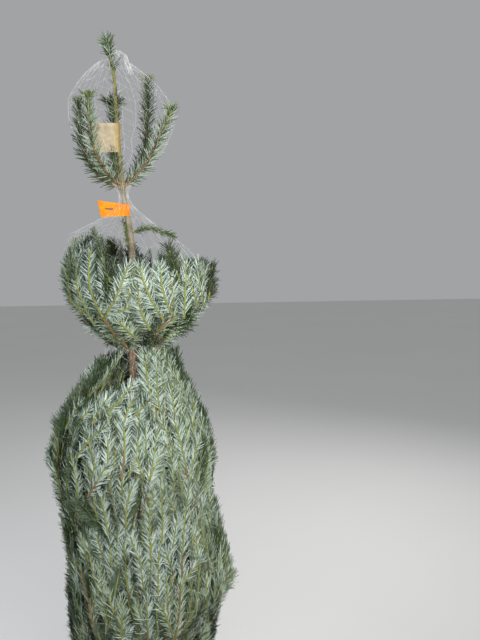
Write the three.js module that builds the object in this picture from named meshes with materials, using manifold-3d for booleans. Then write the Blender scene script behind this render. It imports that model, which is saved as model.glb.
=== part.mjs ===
// A cut fir of about 1.9 m, still bundled in its transport net, standing in a plain bucket stand.
// Millimetres, +Z up. The origin is the middle of the bucket's flat underside, and -Y is the front.
import * as THREE from "three";
import { mergeVertices } from "three/addons/utils/BufferGeometryUtils.js";
import Module from "manifold-3d";

const wasm = await Module();
wasm.setup();

const seatGap = 0.3; // gap between pieces that touch
const clearGap = 1; // least gap between a spray and any other piece
const meshTolerance = 0.05; // edges shorter than this are merged

// Bucket stand
const bucket = {
  height: 250,
  footRadius: 118,
  rimRadius: 148,
  wall: 3,
  floor: 6,
  rimBead: 5,
  bandWidth: 46,
  sides: 32,
};
const clampScrew = {
  count: 3,
  height: 206,
  radius: 4,
  padRadius: 9,
  padLength: 4,
  outside: 38,
  barRadius: 3.5,
  barLength: 52,
  barTurn: 35,
};
const boss = { radius: 11, length: 9 };
const waterDepth = 150;

// Trunk: a flat cut at the bucket's floor, a straight bole, then a slender top that leans to the left
const trunk = {
  foot: bucket.floor + seatGap,
  top: 1886,
  footRadius: 31,
  topRadius: 3.6,
  taper: 1.15,
  sides: 12,
  levels: 24,
};
const rootFlare = { extra: 4, fade: 55 };
const trunkLean = [
  [0, 0],
  [1240, 0],
  [1500, -1],
  [1632, -19],
  [1717, -25],
  [1830, -30],
  [1886, -32],
];
const leaderTip = { bend: -14, rise: 84, needleLength: 24 };

// Reach of the needles at each height, from the middle of the bundle, and how far that middle lies right of the trunk
const bundleReach = [
  [330, 50],
  [400, 130],
  [478, 178],
  [548, 189],
  [603, 200],
  [658, 209],
  [710, 204],
  [763, 198],
  [816, 192],
  [868, 191],
  [920, 196],
  [972, 200],
  [1022, 194],
  [1071, 180],
  [1120, 158],
  [1169, 128],
  [1240, 80],
  [1300, 56],
];
const bundleShift = [
  [400, 2],
  [548, 15],
  [658, 33],
  [763, 22],
  [868, 3],
  [972, -6],
  [1120, -4],
  [1240, 9],
];
// The same for the cup of the second whorl, whose rim is higher at the left and at the back
const cupReach = [
  [1255, 44],
  [1290, 120],
  [1315, 147],
  [1364, 174],
  [1412, 184],
  [1455, 180],
  [1520, 160],
];
const cupShift = 12;
const cup = { foot: 1255, rim: 1488, higherLeft: 40, higherBack: 26 };
// Its left side is drawn in by the net, more and more from one height up to another
const drawnIn = { from: 1380, to: 1545, by: 72 };

// Whorls from the lowest up. The turn is that of the first bough, in degrees from +X; from and to bound the core.
const whorls = [
  { name: "lower", from: 440, to: 736, turn: -12, shoots: [62, 262], boughHeight: 318, rootRadius: 8 },
  { name: "middle", from: 758, to: 1000, turn: 18, shoots: [44, 214] },
  { name: "upper", from: 1014, to: 1170, turn: -12, shoots: [30, 158], longTurn: -40, longer: 0.35 },
  { name: "cup", from: 1296, to: 1422, turn: -48, shoots: [20, 162], boughHeight: 1236, rootRadius: 5, wall: 28 },
];
const boughsPerWhorl = 6;
const limb = { sides: 6, rootRadius: 7, tipRadius: 4, stagger: 14 };
const shoot = { halfWidth: 24, stem: 3.4, toothPitch: 56, toothLean: 0.62, lift: 0.32, forkAngle: 24 };
const depth = { fork: 20, tip: 9 }; // of the shoots below the reach of the needles
const core = { below: 25, sunk: 12, sectorGap: 2.4, innerRadius: 52, slant: 0.62, levels: 4, arcs: 4 };

// Boughs of the top whorl: turn in degrees from +X, height of the root, reach from the stem, rise to the tip, and
// how far they bow out on the way, from 0, nearly straight, to 1
const crownBoughs = [
  { turn: 168, height: 1632, reach: 98, rise: 205, bow: 1 },
  { turn: 226, height: 1641, reach: 98, rise: 198, bow: 1 },
  { turn: 108, height: 1623, reach: 66, rise: 212, bow: 1 },
  { turn: -22, height: 1632, reach: 124, rise: 192, bow: 0.15 },
  { turn: 48, height: 1641, reach: 98, rise: 256, bow: 1 },
];
const crownLimb = { bareLength: 36, rootRadius: 3.8, tipRadius: 3.2 };

const radians = THREE.MathUtils.degToRad;
const { lerp } = THREE.MathUtils;

// Repeatable random numbers from 0 to 1
function seededRandom(seed) {
  let state = seed >>> 0;
  return () => {
    state = (Math.imul(state, 1664525) + 1013904223) >>> 0;
    return state / 4294967296;
  };
}

// Value at a height on a smooth line through [height, value] pairs
function valueAt(pairs, height) {
  let i = 0;
  while (i < pairs.length - 2 && height > pairs[i + 1][0]) i++;
  const slopeAt = (k) => {
    const before = pairs[Math.max(k - 1, 0)];
    const after = pairs[Math.min(k + 1, pairs.length - 1)];
    return (after[1] - before[1]) / (after[0] - before[0]);
  };
  const [low, high] = [pairs[i], pairs[i + 1]];
  const span = high[0] - low[0];
  const u = Math.min(Math.max((height - low[0]) / span, 0), 1);
  const blend = [2 * u ** 3 - 3 * u ** 2 + 1, u ** 3 - 2 * u ** 2 + u, 3 * u ** 2 - 2 * u ** 3, u ** 3 - u ** 2];
  return blend[0] * low[1] + blend[1] * span * slopeAt(i) + blend[2] * high[1] + blend[3] * span * slopeAt(i + 1);
}

const trunkCentre = (height) => new THREE.Vector3(valueAt(trunkLean, height), 0, height);

function trunkRadius(height) {
  const left = Math.max(1 - height / trunk.top, 0);
  const flare = rootFlare.extra * Math.exp(-height / rootFlare.fade);
  return trunk.topRadius + (trunk.footRadius - trunk.topRadius) * left ** trunk.taper + flare;
}

const outward = (turn) => new THREE.Vector3(Math.cos(turn), Math.sin(turn), 0);

// Solids from points and faces, and back to three.js geometry
function solidFrom(points, faces) {
  const vertProperties = new Float32Array(points.flatMap((p) => [p.x, p.y, p.z]));
  return new wasm.Manifold(new wasm.Mesh({ numProp: 3, vertProperties, triVerts: new Uint32Array(faces.flat()) }));
}

function solidOf(geometry) {
  const bare = geometry.clone();
  bare.deleteAttribute("normal");
  bare.deleteAttribute("uv");
  const merged = mergeVertices(bare, 1e-3);
  const triVerts = new Uint32Array(merged.index.array);
  const vertProperties = new Float32Array(merged.attributes.position.array);
  return new wasm.Manifold(new wasm.Mesh({ numProp: 3, vertProperties, triVerts }));
}

function geometryOf(solid) {
  const { numProp, vertProperties, triVerts } = solid.getMesh();
  const positions = new Float32Array((vertProperties.length / numProp) * 3);
  for (let i = 0; i < positions.length / 3; i++)
    positions.set(vertProperties.subarray(i * numProp, i * numProp + 3), i * 3);
  const geometry = new THREE.BufferGeometry();
  geometry.setAttribute("position", new THREE.BufferAttribute(positions, 3));
  geometry.setIndex(new THREE.BufferAttribute(new Uint32Array(triVerts), 1));
  geometry.computeVertexNormals();
  return geometry;
}

// A closed solid through rings of equal count, each counter-clockwise about the way that the rings run
function loft(rings) {
  const sides = rings[0].length;
  const last = (rings.length - 1) * sides;
  const faces = [];
  for (let first = 0; first < last; first += sides)
    for (let s = 0; s < sides; s++) {
      const [a, b] = [first + s, first + ((s + 1) % sides)];
      faces.push([a, b, b + sides], [a, b + sides, a + sides]);
    }
  for (let s = 1; s + 1 < sides; s++) faces.push([0, s + 1, s], [last, last + s, last + s + 1]);
  return solidFrom(rings.flat(), faces);
}

// A limb of round section that tapers along a curve; out is the side of its first vertex
function taperedLimb(points, rootRadius, tipRadius, sides, out, steps = 5) {
  const curve = new THREE.CatmullRomCurve3(points);
  const rings = [];
  for (let i = 0; i <= steps; i++) {
    const centre = curve.getPointAt(i / steps);
    const along = curve.getTangentAt(i / steps);
    const first = out.clone().addScaledVector(along, -out.dot(along)).normalize();
    const second = along.clone().cross(first);
    const radius = lerp(rootRadius, tipRadius, i / steps);
    rings.push(
      Array.from({ length: sides }, (_, s) => {
        const angle = (2 * Math.PI * s) / sides;
        return centre
          .clone()
          .addScaledVector(first, radius * Math.cos(angle))
          .addScaledVector(second, radius * Math.sin(angle));
      }),
    );
  }
  return loft(rings);
}

// A spray: a shoot with rows of needles as toothed wings, two at its sides and, if full, one on its inner side
function spray(points, out, options = {}) {
  const { halfWidth = shoot.halfWidth, pitch = shoot.toothPitch, full = false, inner = 0.8 } = options;
  const curve = new THREE.CatmullRomCurve3(points);
  const length = curve.getLength();
  const teeth = Math.max(3, Math.round(length / pitch));
  const rings = [];
  for (let i = 0; i <= 2 * teeth; i++) {
    const u = i / (2 * teeth);
    const wide = i % 2 === 1;
    const centre = curve.getPointAt(u);
    const along = curve.getTangentAt(u);
    const under = out.clone().addScaledVector(along, -out.dot(along)).normalize();
    const side = along.clone().cross(under);
    const stem = shoot.stem * (1 - 0.6 * u);
    const swell = Math.min(1, 0.2 + 2.2 * u) * (u > 0.9 ? 0.75 : 1);
    const narrow = i === 2 * teeth ? 0.05 : 0.5;
    const width = Math.max(halfWidth * swell * (wide ? 1 : narrow), stem);
    const lead = wide ? (shoot.toothLean * length) / (2 * teeth) : 0;
    const point = (a, b, forward) =>
      centre.clone().addScaledVector(side, a).addScaledVector(under, b).addScaledVector(along, forward);
    const ring = [point(width, width * shoot.lift, lead)];
    const innerWing = [point(stem, -stem, 0), point(0, -Math.max(width * inner, stem), lead), point(-stem, -stem, 0)];
    ring.push(...(full ? innerWing : [point(0, -stem, 0)]));
    ring.push(point(-width, width * shoot.lift, lead), point(0, stem, 0));
    rings.push(ring);
  }
  return loft(rings);
}

// How much taller than its mean the cup stands at a turn; nothing else is stretched
function stretch(whorl, turn) {
  if (!whorl.wall) return 1;
  return 1 + (cup.higherBack * Math.sin(turn) - cup.higherLeft * Math.cos(turn)) / (cup.rim - cup.foot);
}
const lifted = (whorl, turn, height) => cup.foot + (height - cup.foot) * stretch(whorl, turn);

// The outer surface that a whorl's shoots climb, by turn and height
function surfaceAt(whorl, turn, height) {
  if (!whorl.wall) return valueAt(bundleReach, height) + valueAt(bundleShift, height) * Math.cos(turn);
  const level = cup.foot + (height - cup.foot) / stretch(whorl, turn);
  const up = Math.min(Math.max((height - drawnIn.from) / (drawnIn.to - drawnIn.from), 0), 1);
  return valueAt(cupReach, level) + cupShift * Math.cos(turn) - drawnIn.by * up ** 1.6 * Math.max(-Math.cos(turn), 0);
}

const surfacePoint = (whorl, turn, height, below) =>
  trunkCentre(height).addScaledVector(outward(turn), Math.max(surfaceAt(whorl, turn, height) - below, 12));

// Inner and outer radius of the middle of a mass, which slants down from its outer side to its inner one
function coreReach(whorl, turn, u, aside = 0) {
  const tuck = 1 - 0.1 * Math.abs(2 * u - 1) ** 3;
  const height = lifted(whorl, turn, lerp(whorl.from, whorl.to, u));
  const outer = (surfaceAt(whorl, turn, height) - core.below) * (1 - 0.05 * aside ** 2) * tuck;
  const inner = whorl.wall ? outer - whorl.wall : Math.min(core.innerRadius, outer * 0.55);
  return { outer, inner, height, drop: core.slant * (outer - inner) };
}

// Points of one shoot that climbs the surface. The net turns it upright as it goes, and its tip comes to the surface.
function climb(whorl, start, heading, length, depths) {
  const steps = 3;
  const points = [];
  let { turn, height } = start;
  for (let i = 0; i <= steps; i++) {
    points.push(surfacePoint(whorl, turn, height, lerp(depths[0], depths[1], i / steps)));
    if (i === steps) break;
    const step = length / steps;
    const here = surfaceAt(whorl, turn, height);
    const slope = (surfaceAt(whorl, turn, height + 5) - here) / 5;
    turn += (Math.sin(heading) * step) / Math.max(here - depths[0], 30);
    height += (Math.cos(heading) * step) / Math.hypot(1, slope);
    heading *= 0.72;
  }
  return { points, end: { turn, height } };
}

// One bough above its core: its bare axis, and the shoots into which that forks
function growthOf(whorl, centreTurn, random) {
  const longer = 1 + (whorl.longer ?? 0) * Math.cos(centreTurn - radians(whorl.longTurn ?? 0));
  const lengthOf = (order) => whorl.shoots[order] * longer * stretch(whorl, centreTurn) * lerp(0.9, 1.1, random());
  const { outer, height } = coreReach(whorl, centreTurn, 0.1);
  const rootDepth = surfaceAt(whorl, centreTurn, height) - outer + core.sunk;
  const axis = climb(whorl, { turn: centreTurn, height }, 0, lengthOf(0), [rootDepth, depth.fork]);
  const fork = { turn: centreTurn, height: lerp(height, axis.end.height, 0.9) };
  const shoots = [0, 1, -1].map((side) => {
    const heading = side * radians(shoot.forkAngle) + radians(lerp(-5, 5, random()));
    return climb(whorl, fork, heading, lengthOf(1), [depth.fork + 1, depth.tip]);
  });
  return { axis, shoots };
}

// The dense middle of a mass: a slab of the bundle between two turns, its sides and ends rounded off
function coreLobe(whorl, centreTurn) {
  const rings = [];
  for (let level = 0; level <= core.levels; level++) {
    const outer = [];
    const inner = [];
    for (let arc = 0; arc <= core.arcs; arc++) {
      const aside = (2 * arc) / core.arcs - 1;
      const reach = coreReach(whorl, centreTurn, level / core.levels, aside);
      const out = outward(centreTurn + aside * (Math.PI / boughsPerWhorl - core.sectorGap / reach.inner));
      outer.push(trunkCentre(reach.height).addScaledVector(out, reach.outer));
      inner.push(trunkCentre(reach.height - reach.drop).addScaledVector(out, reach.inner));
    }
    rings.push([...outer, ...inner.filter((_, arc) => arc % 2 === 0).reverse()]);
  }
  return loft(rings);
}

const bodies = []; // every solid with its name and colour
const colours = {
  bark: 0x7d6a56,
  limbBark: 0x8a7048,
  paleNeedles: 0x93a693,
  darkNeedles: 0x4c5f42,
  bucket: 0x2f4a3c,
  steel: 0xb8bcc0,
  water: 0x4e5a58,
};

function add(name, solid, color, roughness = 0.8, metalness = 0) {
  const body = { name, solid, box: solid.boundingBox(), material: { color, roughness, metalness } };
  bodies.push(body);
  return body;
}

function boxesNear(a, b, reach) {
  return [0, 1, 2].every((k) => a.min[k] - reach < b.max[k] && b.min[k] - reach < a.max[k]);
}

// Joins a spray to its own body if it keeps its distance from every other one
function joinIfClear(own, piece) {
  const box = piece.boundingBox();
  const isClear = (body) => !boxesNear(box, body.box, clearGap) || piece.minGap(body.solid, clearGap) >= clearGap;
  if (!bodies.every((body) => body === own || isClear(body))) return;
  own.solid = own.solid.add(piece);
  own.box = own.solid.boundingBox();
}

function largestPiece(solid) {
  return solid.decompose().reduce((best, next) => (next.volume() > best.volume() ? next : best));
}

// Trunk, and the same trunk grown by the seat gap, which cuts whatever stands against it
function trunkSolid(extra, beyond) {
  const { foot, top, levels } = trunk;
  const heights = Array.from({ length: levels + 1 }, (_, i) => lerp(foot, top, i / levels));
  if (beyond) heights.splice(0, 1, foot - beyond, foot);
  if (beyond) heights.push(top + beyond);
  return loft(
    heights.map((height) =>
      Array.from({ length: trunk.sides }, (_, s) => {
        const out = outward((2 * Math.PI * s) / trunk.sides);
        return trunkCentre(height).addScaledVector(out, trunkRadius(height) + extra);
      }),
    ),
  );
}
add("trunk", trunkSolid(0, 0), colours.bark, 0.9);
const trunkRoom = trunkSolid(seatGap * 1.1, 1);

// Bucket stand: bucket with bosses, water and clamp screws
const bucketRadius = (height) => lerp(bucket.footRadius, bucket.rimRadius, height / bucket.height);

function bucketProfile() {
  const { wall, floor, height, rimBead, bandWidth } = bucket;
  const bandFoot = height - bandWidth;
  return [
    [0, 0],
    [bucketRadius(0), 0],
    [bucketRadius(bandFoot), bandFoot],
    [bucketRadius(bandFoot) + wall, bandFoot + 3],
    [bucketRadius(height) + wall, height - rimBead],
    [bucketRadius(height) + wall + rimBead, height - rimBead],
    [bucketRadius(height) + wall + rimBead, height],
    [bucketRadius(height) - wall, height],
    [bucketRadius(floor) - wall, floor],
    [0, floor],
  ].map(([radius, z]) => new THREE.Vector2(radius, z));
}

const lathed = (profile, sides) => solidOf(new THREE.LatheGeometry(profile, sides).rotateX(Math.PI / 2));

function radialCylinder(radius, from, to, turn, height, sides = 10) {
  const cylinder = new THREE.CylinderGeometry(radius, radius, to - from, sides).rotateZ(-Math.PI / 2);
  return solidOf(cylinder.translate((from + to) / 2, 0, height).rotateZ(turn));
}

const screwTurns = Array.from({ length: clampScrew.count }, (_, i) => radians(90 + (360 * i) / clampScrew.count));
const screwWall = bucketRadius(clampScrew.height) + bucket.wall;
let bucketSolid = lathed(bucketProfile(), bucket.sides);
for (const turn of screwTurns)
  bucketSolid = bucketSolid.add(
    radialCylinder(boss.radius, screwWall - bucket.wall - 1, screwWall + boss.length, turn, clampScrew.height),
  );
for (const turn of screwTurns)
  bucketSolid = bucketSolid.subtract(
    radialCylinder(clampScrew.radius + seatGap, screwWall - 20, screwWall + 30, turn, clampScrew.height),
  );
add("stand_bucket", bucketSolid, colours.bucket, 0.45);

const waterProfile = [
  [0, bucket.floor + seatGap],
  [bucketRadius(bucket.floor) - bucket.wall - seatGap * 2, bucket.floor + seatGap],
  [bucketRadius(waterDepth) - bucket.wall - seatGap * 2, waterDepth],
  [0, waterDepth],
].map(([radius, z]) => new THREE.Vector2(radius, z));
add("stand_water", lathed(waterProfile, bucket.sides).subtract(trunkRoom), colours.water, 0.1);

screwTurns.forEach((turn, i) => {
  const padFrom = trunkRadius(clampScrew.height) + seatGap * 1.5;
  const end = screwWall + boss.length + clampScrew.outside;
  const bar = new THREE.CylinderGeometry(clampScrew.barRadius, clampScrew.barRadius, clampScrew.barLength, 8)
    .rotateX(Math.PI / 2)
    .rotateX(radians(clampScrew.barTurn))
    .translate(end, 0, clampScrew.height)
    .rotateZ(turn);
  const screw = radialCylinder(clampScrew.padRadius, padFrom, padFrom + clampScrew.padLength, turn, clampScrew.height)
    .add(radialCylinder(clampScrew.radius, padFrom + 1, end + 1, turn, clampScrew.height))
    .add(solidOf(bar));
  add(`clamp_screw_${i + 1}`, screw, colours.steel, 0.35, 0.9);
});

// Point in the middle of a core's wall, or beside it by a step inwards and a step down
function coreMiddle(whorl, turn, u, inwards = 0, down = 0) {
  const { outer, inner, height, drop } = coreReach(whorl, turn, u);
  return trunkCentre(height - drop / 2 - down).addScaledVector(outward(turn), (outer + inner) / 2 - inwards);
}

// Bare limb from the trunk out to just below where its mass begins
function bareBough(whorl, i, turn) {
  const end = coreMiddle(whorl, turn, 0, 5, 18);
  const start = trunkCentre(whorl.boughHeight + (i % 2) * limb.stagger);
  const out = outward(turn);
  const bend = start.clone().lerp(end, 0.45).addScaledVector(out, 9).setZ(lerp(start.z, end.z, 0.36));
  const solid = taperedLimb([start, bend, end], whorl.rootRadius, limb.tipRadius, limb.sides, out, 4);
  const along = new THREE.CatmullRomCurve3([start, bend, end]).getTangentAt(1);
  return { solid: largestPiece(solid.subtract(trunkRoom)), end, along };
}

// Stem of a mass that goes on from a bough's tip, cut square a seat gap beyond it
function stemBeyond({ end, along }, inside, out) {
  const middle = end.clone().lerp(inside, 0.5).addScaledVector(out, 2);
  const points = [end.clone().addScaledVector(along, -2), middle, inside];
  const stem = taperedLimb(points, limb.tipRadius, limb.tipRadius * 0.8, limb.sides, out, 3);
  return stem.trimByPlane(along.toArray(), along.dot(end) + seatGap);
}

// Each mass starts with its stem and core. The stem goes on from a bough, or else leaves the trunk inside the bundle.
const masses = [];
whorls.forEach((whorl, level) => {
  for (let i = 0; i < boughsPerWhorl; i++) {
    const turn = radians(whorl.turn) + (2 * Math.PI * i) / boughsPerWhorl;
    const out = outward(turn);
    let stem;
    if (whorl.boughHeight) {
      const made = bareBough(whorl, i, turn);
      add(`bough_${whorl.name}_${i + 1}`, made.solid, colours.limbBark, 0.85);
      stem = stemBeyond(made, coreMiddle(whorl, turn, 0.25), out);
    } else {
      const { inner, height, drop } = coreReach(whorl, turn, 0);
      const at = (radius, rise) => trunkCentre(height - drop + rise).addScaledVector(out, radius);
      const points = [at(0, -62), at(inner * 0.5, -22), at(inner + 22, 40)];
      stem = largestPiece(taperedLimb(points, limb.rootRadius, limb.tipRadius, limb.sides, out).subtract(trunkRoom));
    }
    const body = add(`foliage_${whorl.name}_${i + 1}`, stem.add(coreLobe(whorl, turn)), colours.paleNeedles);
    const topHeight = lifted(whorl, turn, whorl.wall ? cup.rim + 6 : whorl.to + 96);
    const { axis, shoots } = growthOf(whorl, turn, seededRandom(100 * (level + 1) + i));
    masses.push({ body, turn, axis, shoots: shoots.filter(({ end }) => end.height < topHeight) });
  }
});

// Top whorl: five single boughs, bare at the root, that curve up round the leader
crownBoughs.forEach(({ turn: degrees, height, reach, rise, bow }, i) => {
  const turn = radians(degrees);
  const out = outward(turn);
  const start = trunkCentre(height);
  const at = (r, z) => start.clone().addScaledVector(out, r).add(new THREE.Vector3(0, 0, z));
  const low = at(reach * 0.5, rise * lerp(0.31, 0.1, bow));
  const high = at(reach * lerp(0.85, 0.92, bow), rise * lerp(0.78, 0.42, bow));
  const path = [at(0, -4), low, high, at(reach, rise)];
  const curve = new THREE.CatmullRomCurve3(path);
  const split = crownLimb.bareLength / curve.getLength();
  const part = (from, to, count) =>
    Array.from({ length: count }, (_, k) => curve.getPointAt(lerp(from, to, k / (count - 1))));
  const barePoints = part(0, split, 4);
  const bare = taperedLimb(barePoints, crownLimb.rootRadius, crownLimb.tipRadius, limb.sides, out, 3);
  add(`bough_crown_${i + 1}`, largestPiece(bare.subtract(trunkRoom)), colours.limbBark, 0.85);
  const along = new THREE.CatmullRomCurve3(barePoints).getTangentAt(1);
  const needled = spray(part(split, 1, 8), out, { halfWidth: 21, pitch: 32, full: true });
  const beyond = needled.trimByPlane(along.toArray(), along.dot(barePoints[3]) + seatGap);
  add(`foliage_crown_${i + 1}`, largestPiece(beyond), colours.darkNeedles);
});

// Leader's tip: it bends over to the left above the trunk's top, with needles all round and a cluster of buds
const tipRoot = trunkCentre(trunk.top).add(new THREE.Vector3(0, 0, seatGap));
const tipPath = [
  tipRoot,
  tipRoot.clone().add(new THREE.Vector3(leaderTip.bend * 0.5, 0, leaderTip.rise * 0.4)),
  tipRoot.clone().add(new THREE.Vector3(leaderTip.bend, 0, leaderTip.rise)),
];
let leader = spray(tipPath, new THREE.Vector3(0, -1, 0), { halfWidth: 17, full: true, inner: 1 });
for (let i = 0; i < 5; i++) {
  const turn = radians(72 * i);
  const root = tipPath[2].clone().add(new THREE.Vector3(0, 0, -22));
  const tip = root.clone().addScaledVector(outward(turn), 13).add(new THREE.Vector3(0, 0, leaderTip.needleLength));
  leader = leader.add(taperedLimb([root, root.clone().lerp(tip, 0.5), tip], 3.4, 1, 4, outward(turn), 1));
}
add("leader_tip", largestPiece(leader.subtract(trunkRoom)), colours.darkNeedles);

// Two small twigs on the bare stem below the top whorl
const stemTwigs = [
  { name: "stem_twig_right", height: 1515, turn: -12, run: 106, lift: 17, end: -6 },
  { name: "stem_twig_left", height: 1494, turn: 178, run: 16, lift: 34, end: 58 },
];
for (const { name, height, turn: degrees, run, lift, end } of stemTwigs) {
  const out = outward(radians(degrees));
  const start = trunkCentre(height);
  const root = start.clone().addScaledVector(out, trunkRadius(height) - 2);
  const at = (u, z) => root.clone().addScaledVector(out, run * u).add(new THREE.Vector3(0, 0, z));
  const facing = Math.abs(end) > run ? out : new THREE.Vector3(0, 0, -1);
  const twig = spray([at(0, 0), at(0.45, lift), at(1, end)], facing, { halfWidth: 11 });
  add(name, largestPiece(twig.subtract(trunkRoom)), colours.darkNeedles);
}

// Sprays last, so that each is tried against every core: the middle one of each mass before those at its sides
for (const { body, turn, axis } of masses)
  joinIfClear(body, taperedLimb(axis.points, limb.tipRadius, shoot.stem, limb.sides - 1, outward(turn), 2));
for (const k of [0, 1, 2])
  for (const { body, turn, shoots } of masses)
    if (shoots[k]) joinIfClear(body, spray(shoots[k].points, outward((shoots[k].end.turn + turn) / 2)));

const group = new THREE.Group();
for (const { name, solid, material } of bodies) {
  const whole = largestPiece(solid.simplify(meshTolerance));
  const mesh = new THREE.Mesh(geometryOf(whole), new THREE.MeshStandardMaterial(material));
  mesh.name = name;
  group.add(mesh);
}

export default group;
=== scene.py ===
from collections import namedtuple
from math import atan2, copysign, cos, degrees, exp, floor, hypot, pi, radians, sin
import bpy
from mathutils import Matrix, Vector, noise


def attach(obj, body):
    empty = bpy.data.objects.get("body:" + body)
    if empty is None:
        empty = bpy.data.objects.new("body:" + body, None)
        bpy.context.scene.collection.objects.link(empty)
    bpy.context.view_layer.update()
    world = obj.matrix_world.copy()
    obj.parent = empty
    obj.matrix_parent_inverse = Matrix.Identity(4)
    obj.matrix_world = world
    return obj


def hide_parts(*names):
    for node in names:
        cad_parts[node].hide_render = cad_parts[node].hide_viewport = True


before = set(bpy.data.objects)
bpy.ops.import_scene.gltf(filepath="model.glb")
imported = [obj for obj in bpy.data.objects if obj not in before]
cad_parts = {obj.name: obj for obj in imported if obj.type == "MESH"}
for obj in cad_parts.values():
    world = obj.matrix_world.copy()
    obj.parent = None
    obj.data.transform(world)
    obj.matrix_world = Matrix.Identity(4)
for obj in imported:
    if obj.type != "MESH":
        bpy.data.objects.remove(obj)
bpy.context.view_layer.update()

mm = 0.001
up = Vector((0, 0, 1))
print("frame loaded:", len(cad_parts), "nodes")


# Small helpers for colours, nodes and meshes

def toLinear(hexColour):
    channels = [int(hexColour[i:i + 2], 16) / 255 for i in (1, 3, 5)]
    return tuple(c / 12.92 if c <= 0.04045 else ((c + 0.055) / 1.055) ** 2.4 for c in channels) + (1.0,)


def addNode(tree, kind, inputs=None, **settings):
    node = tree.nodes.new(kind)
    for name, value in settings.items():
        setattr(node, name, value)
    for key, value in (inputs or {}).items():
        if isinstance(value, bpy.types.NodeSocket):
            tree.links.new(value, node.inputs[key])
        else:
            node.inputs[key].default_value = value
    return node


def outOf(tree, kind, inputs=None, **settings):
    return addNode(tree, kind, inputs, **settings).outputs[0]


def mixTwo(tree, factor, first, second):
    # mixes two colours, each a hex value or another node's socket
    first, second = (toLinear(c) if isinstance(c, str) else c for c in (first, second))
    return addNode(tree, "ShaderNodeMix", {0: factor, 6: first, 7: second}, data_type="RGBA").outputs[2]


def rampOf(tree, factor, low, high):
    # 0 below low, 1 above high
    return outOf(tree, "ShaderNodeMapRange", {"Value": factor, "From Min": low, "From Max": high})


def axisOf(tree, place, axis):
    return addNode(tree, "ShaderNodeSeparateXYZ", {0: place}).outputs[axis]


def patches(tree, place, size, detail=2.0, roughness=0.5, stretch=(1, 1, 1)):
    # noise whose patches are about size millimetres across
    mapped = outOf(tree, "ShaderNodeMapping", {"Vector": place, "Scale": stretch})
    inputs = {"Vector": mapped, "Scale": 1 / (size * mm), "Detail": detail, "Roughness": roughness}
    return addNode(tree, "ShaderNodeTexNoise", inputs).outputs["Fac"]


def startMaterial(name, roughness, ior=1.5, metallic=0.0):
    material = bpy.data.materials.new(name)
    material.use_nodes = True
    tree = material.node_tree
    shader = tree.nodes["Principled BSDF"]
    shader.inputs["Roughness"].default_value = roughness
    shader.inputs["Metallic"].default_value = metallic
    if not metallic:
        shader.inputs["IOR"].default_value = ior
    return material, tree, shader, addNode(tree, "ShaderNodeTexCoord").outputs["Object"]


def layered(name, roughness, colours, broad, fine=None, bump=None, over=None, shine=None, **basics):
    # two colours in broad patches and a third in fine ones, each patch given as its size in mm, the start and the
    # end of its ramp, and the noise's detail; bump is a patch's size, the depth in mm and the detail; over changes
    # the first two colours' mix; shine is the range of roughness that follows the broad patches
    material, tree, shader, place = startMaterial(name, roughness, **basics)
    colours = [c(tree) if callable(c) else c for c in colours]

    def patch(size, low, high, *rest):
        return rampOf(tree, patches(tree, place, size, *rest), low, high)
    share = patch(*broad)
    colour = mixTwo(tree, share, *colours[:2])
    if over:
        colour = over(tree, place, share, colour)
    if fine:
        colour = mixTwo(tree, patch(*fine), colour, colours[2])
    tree.links.new(colour, shader.inputs["Base Color"])
    if shine:
        rough = outOf(tree, "ShaderNodeMapRange", {"Value": share, "To Min": shine[0], "To Max": shine[1]})
        tree.links.new(rough, shader.inputs["Roughness"])
    if bump:
        size, depth, *rest = bump
        height = patches(tree, place, size, *rest)
        relief = outOf(tree, "ShaderNodeBump", {"Height": height, "Distance": depth * mm})
        tree.links.new(relief, shader.inputs["Normal"])
    return material


def newObject(name, data):
    piece = bpy.data.objects.new(name, data)
    bpy.context.collection.objects.link(piece)
    return piece


def meshPiece(name, points, faces, material=None, smooth=True):
    # points in millimetres
    mesh = bpy.data.meshes.new(name)
    mesh.from_pydata([tuple(Vector(p) * mm) for p in points], [], faces)
    mesh.update()
    if material:
        mesh.materials.append(material)
    mesh.polygons.foreach_set("use_smooth", [smooth] * len(mesh.polygons))
    return newObject(name, mesh)


def linesPiece(name, lines, attributes):
    # an object of loose edges, one chain a line; attributes hold a value for each point
    points, edges = [], []
    for line in lines:
        first = len(points)
        points += [tuple(Vector(p) * mm) for p in line]
        edges += [(first + i, first + i + 1) for i in range(len(line) - 1)]
    mesh = bpy.data.meshes.new(name)
    mesh.from_pydata(points, edges, [])
    for label, values in attributes.items():
        if isinstance(values[0], Vector):
            layer = mesh.attributes.new(label, "FLOAT_VECTOR", "POINT")
            layer.data.foreach_set("vector", [c for value in values for c in value])
        else:
            mesh.attributes.new(label, "FLOAT", "POINT").data.foreach_set("value", values)
    return newObject(name, mesh)


def applied(piece):
    # keeps what the modifiers make as a plain mesh
    bpy.context.view_layer.update()
    evaluated = piece.evaluated_get(bpy.context.evaluated_depsgraph_get())
    made, old = bpy.data.meshes.new_from_object(evaluated), piece.data
    piece.modifiers.clear()
    piece.data = made
    bpy.data.meshes.remove(old)
    made.name = piece.name
    return piece


def startTree(name, **inputs):
    # a node tree that takes a shape and some named values and gives a shape
    tree = bpy.data.node_groups.new(name, "GeometryNodeTree")
    taken = [("Geometry", "INPUT", "Geometry")] + [(label, "INPUT", kind) for label, kind in inputs.items()]
    for label, side, kind in taken + [("Geometry", "OUTPUT", "Geometry")]:
        tree.interface.new_socket(label, in_out=side, socket_type="NodeSocket" + kind)
    return tree, addNode(tree, "NodeGroupInput").outputs


def runTree(piece, tree, values):
    # puts a node tree on a piece and sets its named inputs
    modifier = piece.modifiers.new(tree.name, "NODES")
    modifier.node_group = tree
    for item in tree.interface.items_tree:
        if item.in_out == "INPUT" and item.name in values:
            modifier[item.identifier] = values[item.name]
    return applied(piece)


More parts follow.
